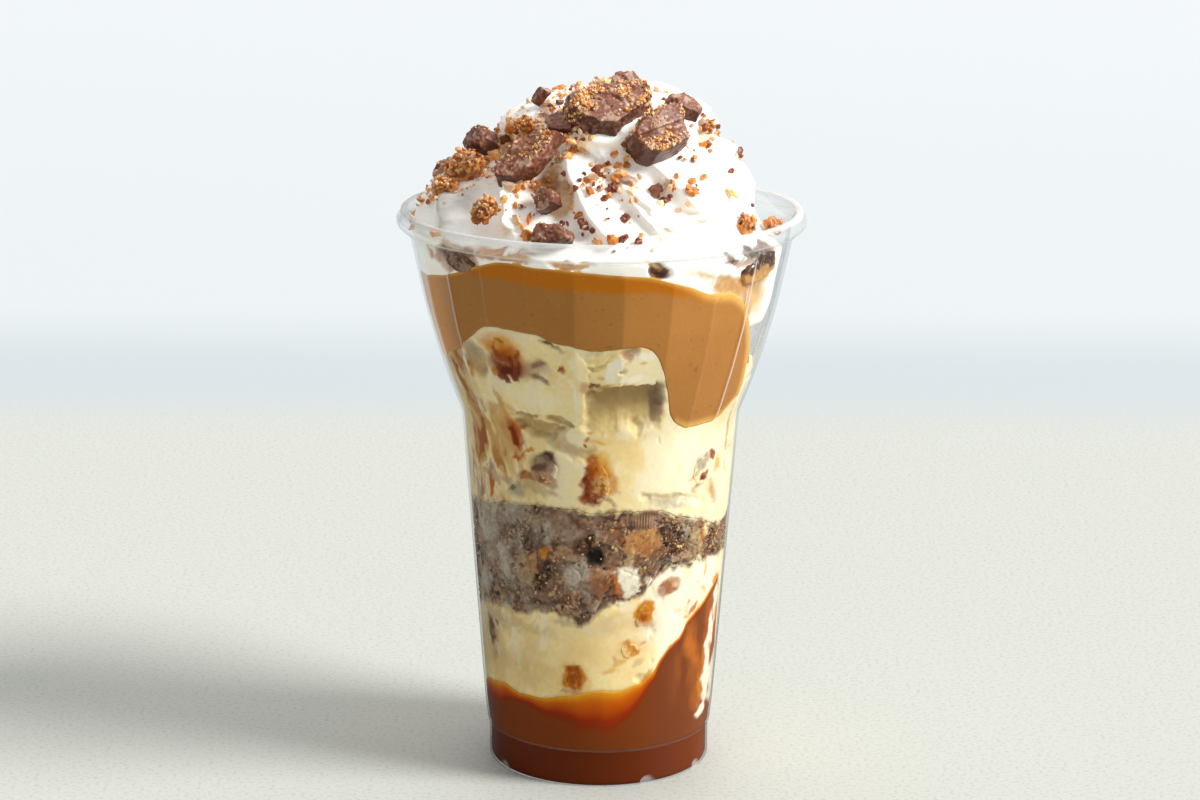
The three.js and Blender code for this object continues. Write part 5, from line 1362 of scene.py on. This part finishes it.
def manyBits(name, spots, sizes, detail, seed, reach=None):
    # one mesh of jagged bits, each turned and shaped its own way; reach keeps them inside the wall
    rng = np.random.default_rng(seed)
    bm = bmesh.new()
    bmesh.ops.create_icosphere(bm, subdivisions=detail, radius=1)
    corners = np.array([v.co for v in bm.verts])
    faces = np.array([[v.index for v in f.verts] for f in bm.faces])
    bm.free()
    count = len(spots)
    shapes = corners * rng.uniform(0.6, 1.3, (count, len(corners), 1)) * rng.uniform(0.5, 1.3, (count, 1, 3))
    turns = np.linalg.qr(rng.normal(size=(count, 3, 3)))[0]
    points = np.einsum("nij,nkj->nki", turns, shapes) * np.reshape(sizes, (-1, 1, 1)) + spots[:, None]
    if reach is not None:
        azimuth, radius, height = cupPlaces(points.reshape(-1, 3))
        radius = np.minimum(radius, wallRadius(azimuth, height) + reach)
        points = onCup(azimuth, radius, height).reshape(points.shape)
    allFaces = faces + np.arange(count)[:, None, None] * len(corners)
    mesh = bpy.data.meshes.new(name)
    mesh.from_pydata((points.reshape(-1, 3) * mm).tolist(), [], allFaces.reshape(-1, 3).tolist())
    return mesh, points


def evenCopy(node, voxel):
    # the node's form as an even mesh, fine enough to be shaped
    bm = bmesh.new()
    bm.from_mesh(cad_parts[node].data)
    bmesh.ops.remove_doubles(bm, verts=bm.verts, dist=1e-5)
    rough = bpy.data.objects.new("rough", meshFrom(bm, "rough"))
    bpy.context.scene.collection.objects.link(rough)
    remesh = rough.modifiers.new("even", "REMESH")
    remesh.mode = "VOXEL"
    remesh.voxel_size = voxel * mm
    evaluated = rough.evaluated_get(bpy.context.evaluated_depsgraph_get())
    mesh = bpy.data.meshes.new_from_object(evaluated)
    bpy.data.objects.remove(rough)
    return mesh


def camelCase(node):
    first, *rest = node.split("_")
    return first + "".join(word.capitalize() for word in rest)


chocolate = {
    "voxel": 0.22,
    # height and size of its relief
    "bend": (0.5, 5), "crease": (0.55, 2.6), "grain": (0.15, 0.7),
    # how rough a piece is; the others are 1
    "rough": {"chocolate_shard_left": 0.5, "chocolate_block_grooved": 0.4, "chocolate_curl_right": 0.4,
              "chocolate_shell_front": 0.7, "chocolate_splinter_left": 0.5},
    # how bright a piece is; the others are 0.95. The left shard is made lighter with painted light, as it
    # lies in the shade
    "bright": {"chocolate_shard_left": 1.4},
}


def shapeChocolate(node, points, normals):
    # broken faces have sharp creases and a crumbly grain
    rough = chocolate["rough"].get(node, 1)
    seed = len(node)
    bend, bendSize = chocolate["bend"]
    crease, creaseSize = chocolate["crease"]
    grain, grainSize = chocolate["grain"]
    folds = np.abs(softNoise(warp(points, 0.8, 3, seed), creaseSize, 3, seed + 1))
    fine = softNoise(points, grainSize, 3, seed + 2)
    patch = smooth(0.5 + softNoise(points, 5, 2, seed + 3))
    moved = bend * softNoise(points, bendSize, 2, seed)
    moved += rough * crease * (0.4 - folds) * mix(0.5, 1.3, patch)
    moved += rough * grain * fine * mix(0.5, 1.5, patch)
    # painted shade: darker on faces that turn downward, and along the lines of the folds
    dark = smooth(0.3 - 0.5 * fine - 0.8 * normals[:, 2] + 0.7 * (0.3 - folds))
    tones = mix(palette["milkChoc"], palette["darkChoc"], (0.85 * dark)[:, None])
    # bloom and scuffs where it broke, in fine flecks
    scuffs = softNoise(warp(points, 0.6, 2, seed + 9), 1.8, 4, seed + 5)
    bloom = smooth((scuffs + 0.6 * folds + 0.5 * fine - 0.25) / 0.7) * smooth(normals[:, 2] + 0.7)
    tones = mix(tones, palette["bloom"], (0.75 * bloom)[:, None])
    fleck = smooth((softNoise(points, 0.6, 2, seed + 8) - 0.55) / 0.3)
    tones = mix(tones, palette["dust"], (0.35 * fleck * smooth(normals[:, 2] + 0.4))[:, None])
    return points + normals * moved[:, None], tones * chocolate["bright"].get(node, 0.95)


honeycomb = {"voxel": 0.24, "lumps": (0.6, 2.2), "grain": (0.3, 0.8), "spacing": 1.2, "holes": (0.25, 0.8)}


def shapeHoneycomb(node, points, normals):
    # lumps of set sugar foam with open bubbles
    rng = np.random.default_rng(len(node))
    size, grain = honeycomb["lumps"], honeycomb["grain"]
    area = len(points) * honeycomb["voxel"] ** 2
    middles = points[rng.choice(len(points), max(6, int(area / honeycomb["spacing"] ** 2)), replace=False)]
    moved = size[0] * softNoise(points, size[1], 2, 4) + grain[0] * softNoise(points, grain[1], 2, 5)
    hollow = np.zeros(len(points))
    for middle in middles:
        hole = rng.uniform(*honeycomb["holes"])
        away = np.linalg.norm(points - middle, axis=1)
        hollow = np.maximum(hollow, np.sqrt(np.clip(hole ** 2 - away ** 2, 0, None)))
    light = smooth(0.4 + 0.8 * softNoise(points, 1.4, 3, 6))
    tones = mix(palette["comb"], palette["combLight"], light[:, None])
    # painted shade: darker inside the open bubbles
    tones = mix(tones, palette["combDark"], (0.8 * smooth(hollow / 0.6))[:, None])
    # painted shade: darker on the undersides
    under = smooth(-0.1 - normals[:, 2])
    tones = mix(tones, palette["combDark"], (0.5 * under)[:, None])
    return points + normals * (moved - 0.9 * hollow)[:, None], tones


pressed = {"uneven": 0.4, "reach": 0.2, "furthest": 0.5, "filmTop": 127.2}


def shapeWallPiece(node, points, normals):
    # a piece pressed against the wall, with the colours of the layer that runs round it
    moved = pressed["uneven"] * softNoise(points, 2.4, 3, len(node))
    points = points + normals * moved[:, None]
    azimuth, radius, height = cupPlaces(points)
    facing = smooth(2 * np.sum(normals * onCup(azimuth, 1, 0), axis=1) - 0.3)
    ragged = 0.2 * softNoise(points, 1.3, 3, len(node) + 1)
    wall = wallRadius(azimuth, height)
    radius = np.minimum(radius + 0.8, wall + pressed["reach"] + 0.25 * facing + ragged)
    radius = np.minimum(radius, wall + pressed["furthest"])
    if "under_rim" in node:
        base, second = ("mauve", "bark") if "left" in node else ("bark", "cocoa")
        cloud = softNoise(warp(points, 0.6, 2, 7), 2.4, 4, len(node) + 2)
        tones = mix(palette[base], palette[second], smooth(0.5 + 1.2 * cloud)[:, None])
        speck = smooth(4 * (softNoise(points, 0.9, 2, 9) - 0.4))
        tones = mix(tones, palette["bloom"], (0.5 * speck)[:, None])
        if "right" in node:
            # the tan film covers its foot
            foot = smooth((pressed["filmTop"] + 1.2 * cloud - height) / 0.8)
            tones = mix(tones, palette["ochre"], (0.9 * foot)[:, None])
    else:
        paintLayer = paintUpperIce if height.mean() > 58 else paintLowerIce
        tones = paintLayer(azimuth, height)[0]
    return onCup(azimuth, radius, height), tones


wallPieces = {
    "chocolate_under_rim_left", "chocolate_under_rim_right", "chocolate_bit_upper", "chocolate_bit_right",
    "chocolate_bit_back", "chocolate_bit_low_left", "honeycomb_streak", "honeycomb_streak_back",
    "honeycomb_cube_low", "toffee_swirl_high", "toffee_blob_low", "toffee_bit_low", "toffee_blob_back",
}


def makePieces():
    # every piece of chocolate and honeycomb; returns the points and normals of those on the cream
    made = {}
    for node in sorted(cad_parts):
        kind = node.split("_")[0]
        if kind not in ("chocolate", "honeycomb", "toffee"):
            continue
        atWall = node in wallPieces
        settings = chocolate if kind == "chocolate" else honeycomb
        mesh = evenCopy(node, settings["voxel"])
        points, normals = readPoints(mesh) / mm, readNormals(mesh)
        if atWall:
            points, tones = shapeWallPiece(node, points, normals)
        elif kind == "chocolate":
            points, tones = shapeChocolate(node, points, normals)
        else:
            points, tones = shapeHoneycomb(node, points, normals)
        writePoints(mesh, points)
        paint(mesh, tones)
        material = wallMaterial if atWall else chocolateMaterial if kind == "chocolate" else combMaterial
        addPiece(camelCase(node), mesh, material, [node])
        if not atWall:
            made[node] = points, readNormals(mesh)
    print("pieces", len(made))
    return made


# loose crumbs on the cream: (azimuth, height, spread, golden ones, brown ones)
drifts = [
    (-84, 142, 4, 60, 6), (-88, 146, 4.5, 90, 8), (-90, 149, 4, 60, 6), (-62, 145.5, 2.6, 34, 4),
    (-73, 152, 3.5, 60, 6), (-63, 150, 3, 70, 8), (-64, 153, 2.5, 50, 4), (-52, 156, 3, 70, 8),
    (-44, 158.5, 3, 80, 8), (-37, 161, 3.5, 80, 10), (-24, 159, 3, 70, 10), (-18, 157, 2.6, 50, 8),
    (-22, 153.5, 2.2, 24, 2), (-33, 145.5, 2.4, 26, 4), (-28.5, 143.6, 2, 16, 3), (-2.7, 148.5, 2, 24, 6),
    (2, 147.5, 2.4, 24, 6), (7, 149.3, 2.2, 22, 5), (10, 148, 2, 14, 4), (22, 145.8, 1.5, 8, 5),
    (28.6, 147.7, 1.2, 8, 0), (34, 145.6, 1.6, 10, 2), (8.4, 141, 2, 4, 3), (-7.7, 141.6, 2, 8, 3),
    (-4, 139.2, 2, 4, 5), (3, 137, 2, 6, 3), (11.6, 135.7, 1.6, 4, 3), (65, 157.4, 2.6, 46, 5),
    (75, 164.7, 2.4, 40, 5), (-70, 164.4, 3, 50, 8), (-136, 164, 3, 40, 6), (-12, 166.2, 3, 40, 6),
    (60, 160, 2, 20, 3), (47, 152, 2, 8, 2), (-100, 141, 4, 40, 5), (110, 146, 3, 30, 4),
    (140, 150, 4, 60, 8), (200, 152, 4, 60, 8), (250, 146, 4, 50, 6), (170, 158, 4, 50, 8),
    (225, 160, 4, 40, 5), (160, 141, 3, 26, 4), (215, 140, 3, 26, 4),
]
# single bits: (azimuth, height, size, colour)
bits = [
    (-17, 150, 0.8, "redBrown"), (-9.4, 149.2, 0.9, "redBrown"), (-3, 150.8, 0.9, "redBrown"),
    (2.3, 152.1, 1, "redBrown"), (-7, 150.2, 0.6, "redBrown"), (-25.3, 147.4, 1, "comb"),
    (1.6, 143.2, 0.6, "redBrown"), (3, 136.9, 1.5, "comb"), (6.5, 137.2, 1.5, "redBrown"),
    (11.6, 135.7, 1.3, "combDark"), (8.4, 141, 1.7, "redBrown"), (-7.7, 141.6, 1.4, "comb"),
    (-5.4, 140.2, 1.5, "redBrown"), (-3.4, 139.4, 1, "redBrown"), (-24.7, 136.7, 1.7, "comb"),
    (-14.9, 139.5, 0.9, "redBrown"), (-1, 136.4, 1.5, "combLight"), (86, 154, 1.1, "combLight"),
    (78.4, 147.1, 0.8, "redBrown"), (39.6, 152.7, 0.9, "redBrown"), (47.4, 152.1, 0.9, "combLight"),
    (22, 145.8, 1.8, "milkChoc"), (25, 143.8, 1.5, "redBrown"), (28.6, 147.7, 1.7, "comb"),
    (34, 145.6, 1.8, "comb"), (9.8, 148.2, 1.9, "bloom"), (5, 147.2, 1.5, "redBrown"),
    (57, 144.3, 1.6, "butter"), (-60, 136.2, 1.3, "comb"), (-56, 135, 1.5, "combLight"),
    (-48, 139, 1, "redBrown"), (-66, 146, 0.9, "redBrown"), (-16, 154, 1.4, "comb"),
    (-20, 152.6, 1.6, "comb"),
    (130, 144, 1.4, "redBrown"), (152, 150, 1.6, "comb"), (190, 146, 1.5, "redBrown"),
    (208, 152, 1.3, "comb"), (238, 143, 1.6, "redBrown"), (262, 148, 1.4, "comb"), (120, 152, 1.2, "comb"),
]


looseCrumbs = {
    "more": 1.8,  # golden crumbs for each one listed
    "fewer": 3,  # listed brown crumbs for each one made
    "strewn": {"golden": 60, "brown": 45},  # anywhere on the cream
    "largest": {"golden": 1.25, "brown": 0.8},
    "smallest": 0.12,
    "stray": 0.4,
    # fine crumbs on the large pieces of chocolate
    "dusted": {"chocolate_slab_top": 2600, "chocolate_block_grooved": 1200, "chocolate_shard_left": 420},
    "stuff": {"golden": {"comb": 3, "combLight": 6, "combDark": 2, "dust": 6, "bloom": 2},
              "brown": {"redBrown": 4, "milkChoc": 2, "toffee": 2}},
    "bitScale": 0.86,
}


def alongCream(creamAt, azimuth, height, spread, count, rng):
    # points of the cream round a place, thinning outward
    points, normals, places = creamAt
    across = fromAzimuth(places[0], azimuth) * math.radians(1) * places[1]
    away = np.hypot(across, places[2] - height)
    weight = np.exp(-0.5 * (away / spread) ** 2) * (normals[:, 2] > -0.2) * (points[:, 2] > 133.5)
    return rng.choice(len(points), count, p=weight / weight.sum())


def makeCrumbs(creamAt, pieces):
    # crumbs in drifts on the cream, finer ones on the pieces in it, and single bits
    rng = np.random.default_rng(21)
    points, normals, places = creamAt
    settings = looseCrumbs
    gold, brown = [], []
    for azimuth, height, spread, golden, browns in drifts:
        gold.append(alongCream(creamAt, azimuth, height, spread, int(settings["more"] * golden), rng))
        brown.append(alongCream(creamAt, azimuth, height, spread, browns // settings["fewer"], rng))
    uncovered = np.flatnonzero((normals[:, 2] > 0.1) & (points[:, 2] > 136))
    gold.append(rng.choice(uncovered, settings["strewn"]["golden"]))
    brown.append(rng.choice(uncovered, settings["strewn"]["brown"]))
    groups = {}
    for name, chosen in (("golden", np.concatenate(gold)), ("brown", np.concatenate(brown))):
        size = rng.uniform(0.3, 1, len(chosen)) ** 5 * settings["largest"][name] + settings["smallest"]
        loose = rng.normal(0, settings["stray"], (len(chosen), 3))
        groups[name] = [points[chosen] + loose * [1, 1, 0] + normals[chosen] * 0.45 * size[:, None]], [size]
    dusted = settings["dusted"]
    for node, (at, facing) in pieces.items():
        golden = node.startswith("honeycomb")
        up = np.flatnonzero(facing[:, 2] > (0.05 if node in dusted else -0.4 if golden else 0.3))
        if not len(up):
            continue
        count = len(up) // 45 if golden else dusted.get(node, min(120, len(up) // 90))
        patch = softNoise(at[up], 3, 2, 5)
        weight = smooth(0.2 + 1.3 * patch) + (0.5 if golden else 0.02)
        chosen = up[rng.choice(len(up), count, p=weight / weight.sum())]
        size = rng.uniform(0.3, 1, count) ** (2 if golden else 5) * (0.65 if golden else 0.45) + 0.09
        groups["golden"][0].append(at[chosen] + facing[chosen] * 0.3 * size[:, None])
        groups["golden"][1].append(size)
    for name, (spots, sizes) in groups.items():
        spots, sizes = np.concatenate(spots), np.concatenate(sizes)
        mesh, shapes = manyBits(name + "Crumbs", spots, sizes, 1, 31 if name == "golden" else 32)
        tones = stuffColours(len(spots), rng, settings["stuff"][name])
        paint(mesh, np.repeat(tones, shapes.shape[1], axis=0))
        tidyMesh(mesh)
        material = combMaterial if name == "golden" else chocolateMaterial
        addPiece(name + "Crumbs", mesh, material, ["whipped_cream"], smoothed=False)
        print(name, "crumbs", len(spots))
    chosen = np.array([alongCream(creamAt, bit[0], bit[1], 0.25, 1, rng)[0] for bit in bits])
    size = settings["bitScale"] * np.array([bit[2] for bit in bits])
    mesh, shapes = manyBits("looseBits", points[chosen] + normals[chosen] * 0.45 * size[:, None], size, 2, 33)
    paint(mesh, np.repeat([palette[bit[3]] for bit in bits], shapes.shape[1], axis=0)
          * rng.uniform(0.8, 1.2, (len(bits) * shapes.shape[1], 1)))
    tidyMesh(mesh)
    addPiece("looseBits", mesh, combMaterial, ["whipped_cream"], smoothed=False)


bpy.context.scene.view_settings.view_transform = "Standard"
addCamera()
setWorld()
addWindow()
addFloor()
print("stage")
# churned dairy ice: soft, dull, slightly see-through
vanilla = toneMaterial("vanillaIceCream", roughness=0.5, grainSize=1.2, bump=0.01, speckle=0.04,
                       specular=0.08, subsurface=0.1, radius=(1, 0.7, 0.4), scale=1.5)
# crushed chocolate and honeycomb wet with cream: coarse, dull, with a faint sheen
crunchMaterial = toneMaterial("chocolateCrunch", roughness=0.5, grainSize=0.7, bump=0.03, speckle=0.08,
                              specular=0.15)
# pieces pressed flat against the plastic: smoother, with a faint sheen
wallMaterial = toneMaterial("pressedPieces", roughness=0.45, grainSize=0.9, bump=0.02, speckle=0.08,
                            specular=0.12)
# tempered milk chocolate: satin, with a finely broken grain
chocolateMaterial = toneMaterial("milkChocolate", roughness=0.42, grainSize=0.6, bump=0.05, speckle=0.1,
                                 specular=0.4)
# cinder toffee: brittle sugar foam, slightly glossy
combMaterial = toneMaterial("cinderToffee", roughness=0.38, grainSize=0.5, bump=0.06, speckle=0.14,
                            subsurface=0.15, radius=(1, 0.5, 0.15), scale=0.8)
makeCup()
makePool()
makeIce("vanillaLower", "ice_cream_lower", "poolTop", "crunchBottom", lowerIce, paintLowerIce)
makeIce("vanillaUpper", "ice_cream_upper", "crunchTop", "tanBottom", upperIce, paintUpperIce)
makeTanSauce()
makeCrunch()
creamAt = makeCream()
pieces = makePieces()
makeCrumbs(creamAt, pieces)
